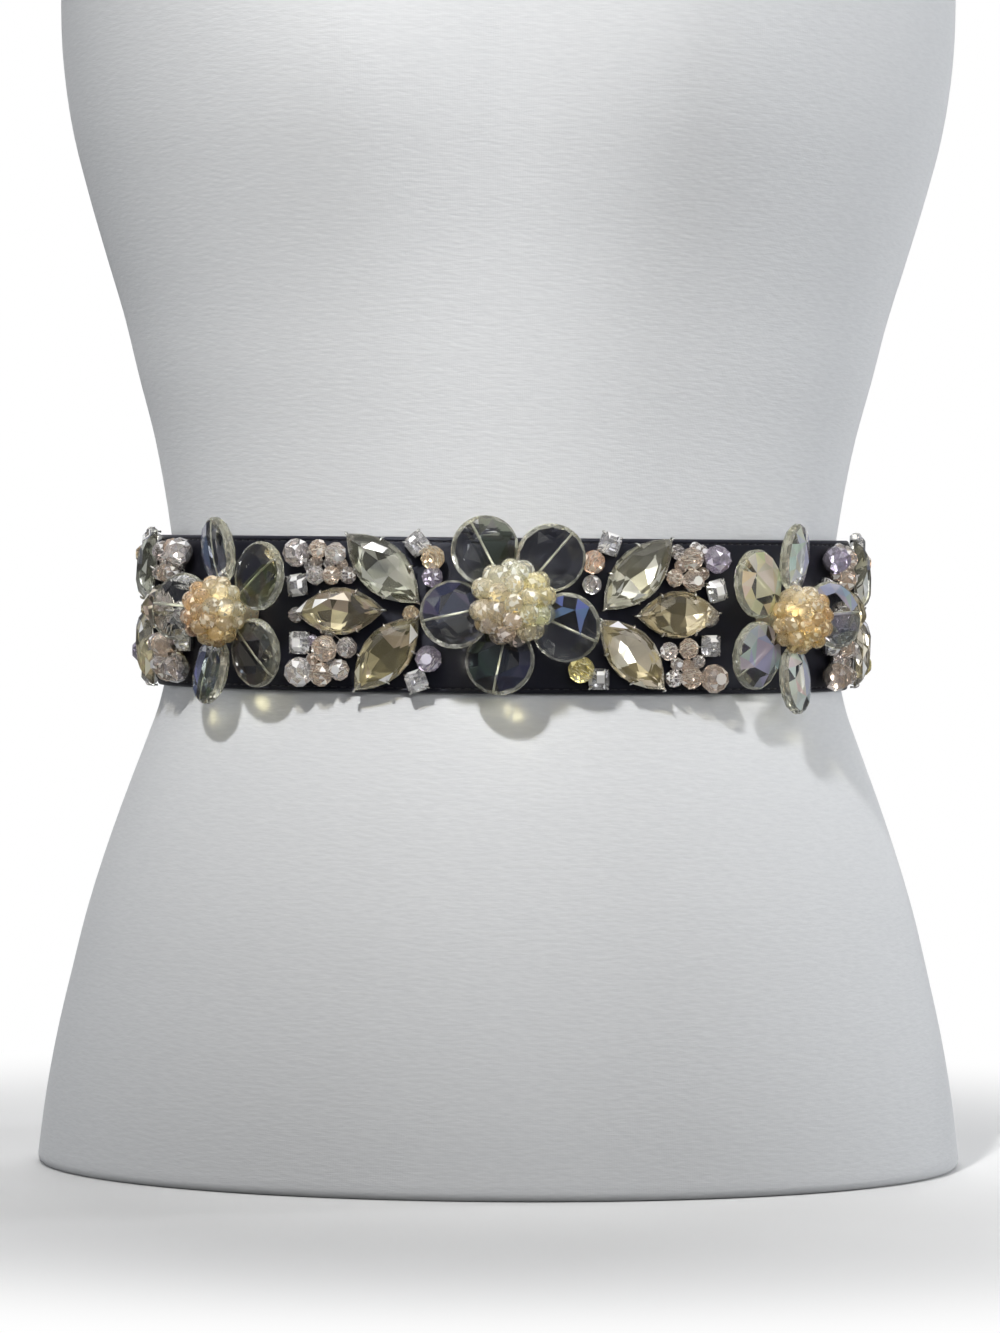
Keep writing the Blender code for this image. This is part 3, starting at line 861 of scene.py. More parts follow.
flower = {
    "petalRadius": 0.0113,
    "stemRadius": 0.0076,
    "hubOut": 0.0088,
    # corners, share of the radius, height and start of the petal's girdle, bevel and facets
    "rings": [(36, 1.0, 0.0006, 0.0), (14, 0.93, 0.0017, 0.5), (10, 0.62, 0.0028, 0.3)],
    "ridge": (0.50, 0.0034),
    "holeRadius": 0.00038,
    "wireRadius": 0.0005,
    "spike": (0.0140, 0.0208, 87.0),     # bare wire end over the centre flower: start, end, turn
    "clear": (0.985, 0.985, 0.965),
    # the rim's champagne tint is the glass's colour and also painted light from the pale surroundings seen
    # through the rim; rimShares give it random broken bright arcs
    "rim": (0.84, 0.83, 0.68),
    "rimStart": 0.89,
    "rimFade": (0.80, 0.18),            # share of the radius where its tint begins, and how far it builds up
    "rimShares": (0.45, 1.15),
    "reflectionShares": (0.82, 1.12),
    "holeEnds": (-0.96, 0.93),
    "wireStart": 0.6,
    "clearFacets": 0.22,     # share of a half's facets that stay clear, without painted reflection
    # facets with painted reflections and painted refracted light: flower and petal, then the half of the
    # petal (1 is the anticlockwise one) and its tint
    "paintedReflections": {
        ("centre", 2): [(-1, (0.14, 0.15, 0.11))],
        ("centre", 3): [(-1, (0.18, 0.18, 0.34))],
        ("centre", 4): [(1, (0.12, 0.13, 0.22)), (-1, (0.10, 0.14, 0.12))],
        ("centre", 5): [(1, (0.18, 0.25, 0.54))],
        ("left", 1): [(-1, (0.24, 0.24, 0.13))],
        ("left", 2): [(1, (0.24, 0.28, 0.40))],
        ("left", 4): [(-1, (0.22, 0.25, 0.46)), (1, (0.30, 0.32, 0.28))],
        ("left", 5): [(1, (0.34, 0.32, 0.28)), (-1, (0.26, 0.22, 0.19))],
        ("right", 1): [(1, (1.0, 0.92, 0.60)), (-1, (0.88, 0.83, 0.64))],
        ("right", 2): [(-1, (0.76, 0.81, 0.90)), (1, (0.80, 0.84, 0.80))],
        ("right", 3): [(1, (0.44, 0.48, 0.58)), (-1, (0.34, 0.35, 0.38))],
        ("right", 4): [(1, (0.80, 0.84, 0.94)), (-1, (0.92, 0.93, 0.86))],
        ("right", 5): [(1, (0.56, 0.60, 0.74)), (-1, (0.60, 0.63, 0.70))],
    },
    "refractionPaintedFrom": 0.38,       # tints brighter than this go on the glass that shows more painted light from the pale surroundings
    # name, along, up, size of its dome
    "places": [
        ("centre", 0.0004, 0.0044, 1.14),
        ("left", -0.0938, 0.0004, 0.95),
        ("right", 0.0934, -0.0006, 0.92),
    ],
    # flower, turn round the flower, tilt, roll on its wire, length of wire that shows
    "petals": [
        ("centre", 50.0, 8.0, 12.0, 0.0000),
        ("centre", 118.0, 8.0, 12.0, 0.0000),
        ("centre", 192.0, 8.0, 14.0, 0.0000),
        ("centre", 258.5, 9.0, 14.0, 0.0000),
        ("centre", 336.0, 9.0, 11.0, 0.0000),
        ("left", 38.0, 3.0, -8.0, 0.0000),
        ("left", 98.0, 4.0, -26.0, 0.0008),
        ("left", 176.0, 4.0, 14.0, 0.0000),
        ("left", 254.0, 4.0, 26.0, 0.0010),
        ("left", 316.0, 3.0, 8.0, 0.0000),
        ("right", 143.0, 4.0, 8.0, 0.0000),
        ("right", 86.0, 4.0, 28.0, 0.0010),
        ("right", 4.0, 4.0, -14.0, 0.0000),
        ("right", 276.0, 4.0, -26.0, 0.0010),
        ("right", 218.0, 2.0, -8.0, 0.0000),
    ],
}


def petalCut():  # a coin bead: thin girdle, a bevel of facets, and a low ridge over the drilled hole
    radius = flower["petalRadius"]
    points = []
    for side in (-1, 1):
        for count, share, height, start in flower["rings"]:
            points += circle(radius * share, count, side * height, start)
        share, height = flower["ridge"]
        points += [Vector((end * radius * share, 0.0, side * height)) for end in (-1, 1)]
    return cutStone(points)


def petalTints(shape):  # nearly clear, and champagne towards the rim, where the tint also paints light seen through the rim
    start, width = flower["rimFade"]
    tints = []
    for face in shape["faces"]:
        reach = middleOf(shape, face).xy.length / flower["petalRadius"]
        part = min(max((reach - start) / width, 0.0), 1.0)
        tints.append([a + (b - a) * part for a, b in zip(flower["clear"], flower["rim"])])
    return tints


def paintPetalFacets(shape, tints, paintedReflections, draw):  # a tint for every facet: random brightness on the rim as painted bright arcs, painted reflections on some facets, and their slots
    slots, colours = list(shape["slots"]), list(tints)
    for index, face in enumerate(shape["faces"]):
        middle = middleOf(shape, face)
        reach = middle.xy.length / flower["petalRadius"]
        if reach > flower["rimStart"]:
            slots[index] = 2
            share = draw.uniform(*flower["rimShares"])
            colours[index] = [min(part * share, 1.0) for part in colours[index]]
        for half, tint in paintedReflections:
            inside = reach < flower["rimStart"] and middle.z > 0 and middle.y * half > 0
            if inside and draw.random() > flower["clearFacets"]:
                slots[index] = 3 if max(tint) > flower["refractionPaintedFrom"] else 1
                colours[index] = [part * draw.uniform(*flower["reflectionShares"]) for part in tint]
    return {**shape, "slots": slots}, colours


def wireShape(spoke, start, end):  # a straight wire, out from the flower's middle
    return rodShape(*[spoke @ Vector((reach, 0.0, flower["hubOut"])) for reach in (start, end)],
                    flower["wireRadius"])


def makePetals():
    draw = random.Random(5)
    shape = petalCut()
    tints = petalTints(shape)
    radius = flower["petalRadius"]
    stem = flower["stemRadius"]
    hole = rodShape(*[Vector((radius * end, 0.0, 0.0)) for end in flower["holeEnds"]], flower["holeRadius"])
    # the petals' glass reads how far a point lies from the middle, and which face it is on
    spots = [part for point in shape["points"]
             for part in (point.x / radius, point.y / radius, 0.0 if point.z > 0 else 1.0)]
    for name, along, up, _ in flower["places"]:
        rods = newHeap()
        rows = [row for row in flower["petals"] if row[0] == name]
        for number, (_, turn, tilt, roll, wire) in enumerate(rows, 1):
            spoke = bandFrame(along, up) @ turned(turn, "Z")
            place = (spoke @ moved(stem + wire + sash["gap"], 0.0, flower["hubOut"])
                     @ turned(-tilt, "Y") @ turned(roll, "X") @ moved(radius, 0.0, 0.0))
            paintedPetal, colours = paintPetalFacets(shape, tints, flower["paintedReflections"].get((name, number), []), draw)
            heap = newHeap()
            addShape(heap, paintedPetal, place, colours)
            petal = makePiece(f"coinBead_{name}_{number}", heap,
                              [petalGlass, reflectionPaintedGlass, rimGlass, refractionPaintedGlass])
            addAttribute(petal.data, "spot", "FLOAT_VECTOR", spots)
            settle(petal, "petal_glass", f"petal_{name}_{number}")
            addShape(rods, hole, place)
            addShape(rods, wireShape(spoke, stem * flower["wireStart"], stem + wire + sash["gap"] * 3))
        if name == "centre":
            start, end, turn = flower["spike"]
            addShape(rods, wireShape(bandFrame(along, up) @ turned(turn, "Z"), start, end))
        settle(makePiece(f"petalHoles_{name}", rods, [frosted]), "petal_glass")


makePetals()
print("petals made:", len(flower["petals"]))

dome = {
    "beadRadius": 0.0034,
    "middleOut": 0.0140,
    "beadWobble": 0.5,
    "beadSides": 9,
    "stemSides": 36,
    "coils": 12,
    "coilDepth": 0.00035,
    # share of the dome's bead facets that are painted highlights
    "flash": 0.16,
    "coilStart": 0.0002,
    "coilFoot": 0.78,
    "coilSteps": 6,
    "ringTurn": 23.0,
    # how far each bead strays: turn and tilt in degrees, share of the size
    "strayTurn": 5.0,
    "strayTilt": 3.0,
    "straySize": (0.84, 1.06),
    # share of the radius across, share along the hole, start: rings of a bead's corners
    "beadRings": [(0.30, 0.92, 0.0), (0.66, 0.72, 0.5), (0.93, 0.36, 0.0), (1.0, 0.0, 0.5),
                  (0.93, -0.36, 0.0), (0.66, -0.72, 0.5), (0.30, -0.92, 0.0)],
    # count, tilt from the dome's top, distance from its middle to the beads' outer faces
    "rings": [(1, 0.0, 0.0114), (6, 34.0, 0.0120), (10, 64.0, 0.0127), (12, 92.0, 0.0128)],
    # radius and out of the gilt body that the beads are wired on
    "body": [(0.0076, 0.0104), (0.0084, 0.0120), (0.0090, 0.0142), (0.0086, 0.0164), (0.0072, 0.0182),
             (0.0050, 0.0195), (0.0022, 0.0202)],
    # how a bead's tint is drawn from those below: focus, least weight, share of the weight, shade
    "tintFocus": 8,
    "tintLeast": 0.01,
    "tintShares": (0.3, 1.7),
    "shades": (0.86, 1.0),
    # flower, then tints by the direction that they are strongest in: turn, weight at the top, tint
    "tints": [
        ("centre", 90.0, 0.4, (0.97, 0.98, 0.90)),
        ("centre", 20.0, 0.2, (0.97, 0.92, 0.66)),
        ("centre", 170.0, 0.3, (0.97, 0.93, 0.80)),
        ("centre", 230.0, 0.0, (0.95, 0.84, 0.76)),
        ("centre", 275.0, 0.1, (0.98, 0.84, 0.78)),
        ("centre", 325.0, 0.0, (0.90, 0.93, 0.72)),
        ("left", 150.0, 0.3, (0.97, 0.76, 0.52)),
        ("left", 215.0, 0.1, (0.96, 0.70, 0.50)),
        ("left", 30.0, 0.3, (0.98, 0.95, 0.78)),
        ("left", 290.0, 0.1, (0.96, 0.80, 0.50)),
        ("right", 190.0, 0.3, (0.97, 0.82, 0.54)),
        ("right", 20.0, 0.2, (0.97, 0.74, 0.42)),
        ("right", 100.0, 0.1, (0.97, 0.90, 0.74)),
        ("right", 280.0, 0.1, (0.96, 0.80, 0.46)),
    ],
}


def domeBeadCut():  # a small faceted bead, drilled through its height
    return cutStone([point for share, height, start in dome["beadRings"]
                     for point in circle(share, dome["beadSides"], height, start)])


def domeTint(name, turn, tilt, draw):
    weights, colour = 0.0, Vector()
    for row, middle, top, tint in dome["tints"]:
        if row != name:
            continue
        lean = math.sin(math.radians(tilt))
        near = max(math.cos(math.radians(turn - middle)), 0.0) ** dome["tintFocus"]
        weight = top * (1 - lean) + lean * near + dome["tintLeast"]
        weight *= draw.uniform(*dome["tintShares"])
        weights += weight
        colour += Vector(tint) * weight
    return tuple(colour / weights * draw.uniform(*dome["shades"]))


def coiledProfile():  # the stem is wound with wire
    steps = dome["coils"] * dome["coilSteps"]
    start, end = sash["gap"], dome["body"][0][1]
    profile = [(flower["stemRadius"] * dome["coilFoot"], start)]
    for step in range(steps + 1):
        part = step / steps
        ridge = dome["coilDepth"] * abs(math.sin(math.pi * dome["coils"] * part))
        profile.append((flower["stemRadius"] - dome["coilDepth"] + ridge,
                        start + dome["coilStart"] + (end - start) * part))
    return profile


def makeDomes():
    draw = random.Random(7)
    cut = domeBeadCut()
    stem = turnedShape(coiledProfile() + dome["body"], dome["stemSides"])
    for name, along, up, size in flower["places"]:
        base = bandFrame(along, up)
        radius = dome["beadRadius"] * size
        rows = []
        for ring, (count, tilt, distance) in enumerate(dome["rings"]):
            for index in range(count):
                stray = draw.uniform(-dome["strayTurn"], dome["strayTurn"])
                turn = 360.0 * index / count + dome["ringTurn"] * ring + stray
                share = draw.uniform(*dome["straySize"])
                lean = tilt + draw.uniform(-dome["strayTilt"], dome["strayTilt"])
                place = (base @ moved(0.0, 0.0, dome["middleOut"]) @ turned(turn, "Z") @ turned(lean, "Y")
                         @ moved(0.0, 0.0, distance * size - radius * share))
                rows.append((place, share, domeTint(name, turn, lean, draw)))
        beads = setOut(f"dome_{name}", cut, rows, domeGlass, size=radius, wobble=dome["beadWobble"], seed=3)
        beads.data.materials.clear()
        for material in (domeGlass, paintedGlint):
            beads.data.materials.append(material)
        # some facets take the painted highlight finish
        for face in beads.data.polygons:
            face.material_index = int(draw.random() < dome["flash"])
        settle(beads, "dome_glass", f"core_{name}")
        heap = newHeap()
        addShape(heap, stem, base)
        settle(makePiece(f"stem_{name}", heap, [goldWire]), "dome_glass")


makeDomes()
print("domes made:", sum(row[0] for row in dome["rings"]), "beads each")

# Marquise stones in claw cups

leaf = {
    "outlineSteps": 10,
    # scale of the outline, height: the cup from its foot over its rim to its inside
    "cup": [(0.74, 0.0003), (0.88, 0.0014), (0.95, 0.0028), (0.965, 0.0034), (0.93, 0.0035), (0.90, 0.0030),
            (0.68, 0.0014), (0.46, 0.0004)],
    # scale of the outline, height, steps on each side: the stone's rows of corners
    "rows": [(0.995, 0.0040, 7), (0.995, 0.0036, 7), (0.80, 0.0062, 5), (0.86, 0.0026, 8), (0.62, 0.0014, 6)],
    "girdle": 0.0040,
    # share of the outline, height, then each corner's share along and across and its lift
    "table": (0.52, 0.0075, [(-1.0, 0.25, 0.0), (-0.3, 1.0, 0.0), (0.6, 0.8, 0.0), (1.0, -0.25, 0.0),
                             (0.3, -1.0, 0.0), (-0.6, -0.8, 0.0)]),
    "keel": (0.50, 0.0007, [(-1.0, 0.0, 0.0004), (-0.35, 0.16, 0.0), (0.35, -0.16, 0.0), (1.0, 0.0, 0.0004)]),
    "girdleSlack": 0.0002,
    "mirrorLean": 0.1,       # facets under the girdle that face up less than this are mirrored
    "clawRuns": (-1.0, -0.40, 0.40, 1.0),
    "clawLean": 0.25,
    "clawDrop": 0.0004,
    "clawSides": 7,
    "clawWobble": 0.05,
    # towards the stone, height, radius of the bent wire
    "clawPath": [(-0.0002, -0.0014, 0.00046), (-0.0003, 0.0000, 0.00046), (-0.0002, 0.0007, 0.00042),
                 (0.0002, 0.0013, 0.00038), (0.0008, 0.0016, 0.00030), (0.0011, 0.0017, 0.00014)],
    "shades": (0.85, 1.12),
    "clawSize": 0.95,
    # share of crown facets that are painted white highlights, and below, their tint
    "flash": 0.03,
    # painted highlights: these facets are painted white or silver to stand for lamp glints
    # where a facet flashes white or silver: along to the photo's right and up from the stone's middle, tint
    "paintedGlints": {
        ("left", "upper"): [(0.0006, 0.0070, (0.95, 0.95, 0.94)), (-0.0040, -0.0010, (0.62, 0.63, 0.56)),
                            (0.0040, -0.0095, (0.70, 0.72, 0.66))],
        ("left", "middle"): [(-0.0050, 0.0030, (0.95, 0.95, 0.94)), (0.0020, 0.0040, (0.60, 0.52, 0.40))],
        ("left", "lower"): [(-0.0085, -0.0080, (0.70, 0.68, 0.52))],
        ("right", "upper"): [(0.0008, -0.0060, (0.90, 0.91, 0.88)), (0.0050, -0.0010, (0.72, 0.74, 0.70))],
        ("right", "middle"): [(-0.0050, -0.0030, (0.60, 0.55, 0.36))],
        ("right", "lower"): [(-0.0050, 0.0100, (0.92, 0.92, 0.98)), (0.0070, 0.0010, (0.78, 0.74, 0.62)),
                             (0.0030, -0.0090, (0.66, 0.62, 0.48))],
    },
    # side, name, away from the flower, up, half length, half width, turn
    "places": [
        ("left", "upper", 0.0541, 0.0151, 0.0168, 0.0084, -42.0),
        ("left", "lower", 0.0555, -0.0126, 0.0163, 0.0081, 49.0),
        ("left", "middle", 0.0398, 0.0010, 0.0158, 0.0079, 2.0),
        ("right", "upper", 0.0540, 0.0138, 0.0166, 0.0083, -45.0),
        ("right", "lower", 0.0556, -0.0123, 0.0160, 0.0081, 46.0),
        ("right", "middle", 0.0402, 0.0008, 0.0150, 0.0079, -2.0),
    ],
    # each stone's foil: its main tint, second tint and dark tint; the dark tint, dealt to some facets, is
    # painted shade of facets that mirror the dark
    "foils": {
        ("left", "upper"): ((0.66, 0.68, 0.58), (0.92, 0.93, 0.86), (0.12, 0.12, 0.09)),
        ("left", "lower"): ((0.74, 0.68, 0.43), (0.70, 0.59, 0.44), (0.18, 0.16, 0.08)),
        ("left", "middle"): ((0.66, 0.55, 0.47), (0.72, 0.66, 0.44), (0.14, 0.12, 0.08)),
        ("right", "upper"): ((0.74, 0.71, 0.54), (0.95, 0.95, 0.88), (0.18, 0.17, 0.12)),
        ("right", "lower"): ((0.84, 0.75, 0.50), (0.94, 0.88, 0.80), (0.24, 0.20, 0.10)),
        ("right", "middle"): ((0.72, 0.63, 0.42), (0.86, 0.78, 0.58), (0.18, 0.15, 0.08)),
    },
    "clearShare": 0.62,
    "white": (0.92, 0.92, 0.90),
}


def navette(length, width, scale, height, steps):  # two arcs that meet at the tips
    points = []
    for side in (-1, 1):
        for step in range(steps):
            run = side * (1 - 2 * step / steps)
            points.append(Vector((-run * length * scale, -side * (1 - run * run) * width * scale, height)))
    return points


def belowGirdle(height):  # the mirrored facets of a stone's underside take slot 1
    return lambda face: int(face.calc_center_median().z < height and face.normal.z < leaf["mirrorLean"])


def leafCut(length, width):
    points = [point for row in leaf["rows"] for point in navette(length, width, *row)]
    for share, height, corners in (leaf["table"], leaf["keel"]):
        points += [Vector((x * length * share, y * width * share, height + lift)) for x, y, lift in corners]
    return cutStone(points, belowGirdle(leaf["girdle"] - leaf["girdleSlack"]))


def clawShape():  # a bent wire that holds a stone's edge: x points at the stone
    path = leaf["clawPath"]
    rings = []
    for index, (x, z, radius) in enumerate(path):
        before, after = path[max(index - 1, 0)], path[min(index + 1, len(path) - 1)]
        turn = Vector((after[0] - before[0], 0.0, after[1] - before[1])).to_track_quat("Z", "Y").to_matrix()
        rings.append([turn @ point + Vector((x, 0.0, z)) for point in circle(radius, leaf["clawSides"], 0.0)])
    return loftShape(rings)


clawRows = {}        # the claws of each cluster, set out once the stones are down


def dressStone(stone, crown, foil, white, flash, draw):  # a tint for each facet, and painted white highlights on a share of the crown facets
    tints, slots = [], []
    for slot in stone["slots"]:
        if slot == 0 and draw.random() < flash:
            slot = 3
            base = white
        else:
            base = draw.choice(foil if slot else crown)
        share = draw.uniform(*leaf["shades"])
        tints.append(tuple(min(part * share, 1.0) for part in base))
        slots.append(slot)
    return {**stone, "slots": slots}, tints


def addPaintedGlints(stone, tints, place, side, name, course):  # turns the nearest crown facets into painted highlights
    sign = course if side == "left" else -course
    for along, up, tint in leaf["paintedGlints"][(side, name)]:
        spot = Vector((along * sign, up))
        crown = [index for index, slot in enumerate(stone["slots"]) if slot == 0]
        gaps = [((place @ middleOf(stone, stone["faces"][index])).xy - spot).length for index in crown]
        best = crown[gaps.index(min(gaps))]
        stone["slots"][best] = 3
        tints[best] = tint


def addLeafClaws(rows, place, length, width):
    for run in leaf["clawRuns"]:
        tip = abs(run) == 1.0
        for side in (1,) if tip else (-1, 1):
            across = side * (1 - run * run) * width
            spot = moved(run * length, across, leaf["girdle"] - leaf["clawDrop"])
            lean = math.atan2(-across, -run * length * (1.0 if tip else leaf["clawLean"]))
            rows.append((place @ spot @ turned(math.degrees(lean), "Z"), leaf["clawSize"], untinted))


def makeLeaves():
    draw = random.Random(21)
    for reach in ("inner", "outer"):
        for side, name, away, up, length, width, turn in leaf["places"]:
            place = clusterFrame(side, reach, away, up, turn)
            heap = newHeap()
            main, second, dark = leaf["foils"][(side, name)]
            clear = leaf["clearShare"]
            # the crown facets take the same tints, the painted dark one too, lightened towards clear
            crown = [[clear + (1 - clear) * part for part in tint] for tint in (main, second, dark)]
            stone, tints = dressStone(leafCut(length, width), crown, (main, second, dark, dark),
                                      leaf["white"], leaf["flash"], draw)
            course = -1 if (side == "left") == (reach == "outer") else 1
            addPaintedGlints(stone, tints, turned(turn * course, "Z"), side, name, course)
            addShape(heap, stone, place, tints)
            cup = loftShape([navette(length, width, scale, height, leaf["outlineSteps"])
                             for scale, height in leaf["cup"]])
            addShape(heap, cup, place, slot=2)
            piece = makePiece(f"marquise_{side}_{reach}_{name}", heap, [leafGlass, leafFoil, silver, paintedGlint])
            settle(piece, "leaf_glass", f"leaf_{side}_{reach}_{name}")
            addLeafClaws(clawRows.setdefault((side, reach), []), place, length, width)


makeLeaves()
print("leaves made:", 2 * len(leaf["places"]))

# Beads and square stones, strung in groups

bead = {
    "sides": 8,
    # share of the radius across, share of the radius out, start
    "rings": [(0.46, 0.10, 0.0), (0.86, 0.48, 0.5), (1.0, 0.88, 0.0), (0.985, 1.10, 0.5), (0.80, 1.58, 0.0),
              (0.42, 1.93, 0.5)],
    "threadRadius": 0.00016,
    "threadOut": 0.0016,
    "swell": 1.16,
    # shares of facets that are painted white highlights, on beads and on square stones
    "flash": 0.15,
    "squareFlash": 0.34,
    # shares of the half side, height: the square stone and its cup
    "squareCup": [(0.78, 0.0003), (0.94, 0.0012), (0.98, 0.0022), (0.96, 0.0028), (0.90, 0.0028),
                  (0.60, 0.0012), (0.30, 0.0003)],
    # share of the half side along and across, height: corners of the cushion-cut stone
    "squareRows": [(1.04, 0.62, 0.0034), (1.04, 0.62, 0.0030), (0.78, 0.30, 0.0047), (0.40, 0.40, 0.0056),
                   (0.62, 0.20, 0.0014), (0.16, 0.16, 0.0004)],
    "squareGirdle": 0.0032,
    # side and group: kind, away from the flower, up, radius or half side, turn if any
    "stones": {
        ("left", "top"): [("round", 0.0252, 0.0199, 0.0041), ("tan", 0.0321, 0.0212, 0.0028),
            ("round", 0.0383, 0.0198, 0.0032)],
        ("left", "high"): [("square", 0.0245, 0.0093, 0.0035, 8.0), ("round", 0.0290, 0.0156, 0.0020),
            ("round", 0.0312, 0.0127, 0.0029), ("tan", 0.0368, 0.0127, 0.0028),
            ("round", 0.0423, 0.0127, 0.0025)],
        ("left", "low"): [("square", 0.0255, -0.0095, 0.0036), ("tan", 0.0350, -0.0113, 0.0039),
            ("round", 0.0360, -0.0059, 0.0019), ("round", 0.0423, -0.0108, 0.0031)],
        ("left", "bottom"): [("round", 0.0264, -0.0190, 0.0043), ("tan", 0.0337, -0.0197, 0.0035),
            ("round", 0.0398, -0.0181, 0.0031)],
        ("left", "crest"): [("square", 0.0650, 0.0232, 0.0034, 40.0),
            ("champagne", 0.0703, 0.0187, 0.0034), ("lilac", 0.0701, 0.0125, 0.0030)],
        ("left", "foot"): [("square", 0.0652, -0.0214, 0.0034, 20.0), ("lilac", 0.0692, -0.0141, 0.0038)],
        ("right", "top"): [("lilac", 0.0270, 0.0189, 0.0041), ("tan", 0.0356, 0.0190, 0.0034),
            ("round", 0.0402, 0.0212, 0.0022)],
        ("right", "high"): [("square", 0.0261, 0.0086, 0.0035, -15.0), ("tan", 0.0351, 0.0119, 0.0033),
            ("tan", 0.0412, 0.0127, 0.0026)],
        ("right", "low"): [("square", 0.0281, -0.0095, 0.0034), ("tan", 0.0364, -0.0103, 0.0030),
            ("round", 0.0431, -0.0112, 0.0027)],
        ("right", "bottom"): [("tan", 0.0278, -0.0201, 0.0042), ("tan", 0.0354, -0.0198, 0.0033),
            ("round", 0.0412, -0.0201, 0.0026)],
        ("right", "crest"): [("square", 0.0632, 0.0236, 0.0034, 20.0), ("peach", 0.0687, 0.0177, 0.0034),
            ("round", 0.0690, 0.0104, 0.0028)],
        ("left", "loose"): [("champagne", 0.0632, 0.0003, 0.0025), ("round", 0.0240, -0.0004, 0.0023),
            ("tan", 0.0311, 0.0170, 0.0020), ("round", 0.0357, 0.0166, 0.0019),
            ("tan", 0.0400, 0.0161, 0.0018), ("tan", 0.0298, -0.0149, 0.0019),
            ("round", 0.0366, -0.0158, 0.0017), ("lilac", 0.0299, -0.0088, 0.0018)],
        ("right", "loose"): [("round", 0.0288, -0.0002, 0.0028), ("tan", 0.0364, -0.0162, 0.0022),
            ("round", 0.0322, -0.0146, 0.0020), ("round", 0.0399, -0.0155, 0.0020),
            ("tan", 0.0310, 0.0141, 0.0020), ("tan", 0.0388, 0.0166, 0.0021),
            ("round", 0.0313, 0.0216, 0.0018), ("round", 0.0337, 0.0224, 0.0019)],
        ("right", "foot"): [("square", 0.0664, -0.0203, 0.0033), ("yellow", 0.0724, -0.0172, 0.0038)],
    },
    # by kind: tints of the facets, of the mirrored underside, and of the painted white highlights
    "colours": {
        "round": ([(0.99, 0.99, 0.98), (0.96, 0.94, 0.93), (0.93, 0.84, 0.79), (0.94, 0.92, 0.98),
                   (0.95, 0.92, 0.82)],
                  [(0.97, 0.97, 0.98), (0.80, 0.73, 0.69), (0.92, 0.88, 0.87), (0.40, 0.36, 0.35)],
                  (0.94, 0.93, 0.93)),
        "square": ([(0.98, 0.98, 0.98), (0.90, 0.90, 0.93)], [(0.96, 0.96, 0.98), (0.45, 0.45, 0.47)],
                   (0.94, 0.93, 0.93)),
        "tan": ([(0.96, 0.91, 0.85)], [(0.84, 0.73, 0.64)], (0.96, 0.90, 0.84)),
        "champagne": ([(0.98, 0.90, 0.76)], [(0.88, 0.74, 0.56)], (0.98, 0.86, 0.66)),
        "lilac": ([(0.90, 0.87, 0.95)], [(0.58, 0.53, 0.62)], (0.84, 0.80, 0.92)),
        "peach": ([(0.98, 0.86, 0.76)], [(0.92, 0.74, 0.60)], (0.98, 0.82, 0.70)),
        "yellow": ([(0.98, 0.94, 0.70)], [(0.92, 0.84, 0.48)], (0.98, 0.93, 0.62)),
    },
    "turns": 40.0,
    "clawOut": 1.26,         # share of the half side
    "clawHeight": 0.0026,
    "clawSize": 0.90,
}


def beadCut(radius):
    lift = Vector((0.0, 0.0, sash["gap"]))
    points = [point + lift for share, height, start in bead["rings"]
              for point in circle(radius * share, bead["sides"], radius * height, start)]
    return cutStone(points, belowGirdle(radius))


def squareCut(half):
    points = [Vector((half * x * right, half * y * front, height))
              for along, across, height in bead["squareRows"]
              for x, y in ((along, across), (across, along)) for right in (-1, 1) for front in (-1, 1)]
    return cutStone(points, belowGirdle(bead["squareGirdle"]))


def addRound(heap, place, size, kind, draw):
    stone, tints = dressStone(beadCut(size * bead["swell"]), *bead["colours"][kind], bead["flash"], draw)
    addShape(heap, stone, place @ turned(draw.uniform(0.0, bead["turns"]), "Z"), tints)


def addSquare(heap, claws, place, size, draw):
    stone, tints = dressStone(squareCut(size), *bead["colours"]["square"], bead["squareFlash"], draw)
    addShape(heap, stone, place, tints)
    cup = loftShape([circle(size * math.sqrt(2) * share, 4, height, 0.5)
                     for share, height in bead["squareCup"]], smooth=False)
    addShape(heap, cup, place, slot=2)
    for turn in (45.0, 135.0, 225.0, 315.0):
        spot = moved(size * bead["clawOut"], 0.0, bead["clawHeight"])
        claws.append((place @ turned(turn, "Z") @ spot @ turned(180.0, "Z"), bead["clawSize"], untinted))


def makeGroup(side, reach, group, draw):
    name = f"{side}_{reach}_{group}"
    heap = newHeap()
    claws = clawRows.setdefault((side, reach), [])
    middles = []
    for kind, away, up, size, *turn in bead["stones"][(side, group)]:
        place = clusterFrame(side, reach, away, up, *turn)
        if kind == "square":
            addSquare(heap, claws, place, size, draw)
        else:
            addRound(heap, place, size, kind, draw)
        middles.append(place @ Vector((0.0, 0.0, bead["threadOut"])))
    loose = group == "loose"
    for first, second in [] if loose else zip(middles, middles[1:]):
        addShape(heap, rodShape(first, second, bead["threadRadius"]), slot=4)
    piece = makePiece(f"gems_{name}", heap, [beadGlass, stoneFoil, silver, paintedGlint, clearThread])
    settle(piece, "bead_glass", *([] if loose else [f"beads_{name}"]))


def makeGroups():
    draw = random.Random(11)
    for reach in ("inner", "outer"):
        for side, group in sorted(bead["stones"]):
            makeGroup(side, reach, group, draw)


def makeClaws():
    shape = clawShape()
    for (side, reach), rows in clawRows.items():
        claws = setOut(f"claws_{side}_{reach}", shape, rows, silver, wobble=leaf["clawWobble"], seed=5)
        settle(claws, "silver")


makeGroups()
makeClaws()
print("beads and claws made:", sum(len(rows) for rows in clawRows.values()), "claws")

# Stage: a pale floor that fades into a pale surround, and soft studio lamps

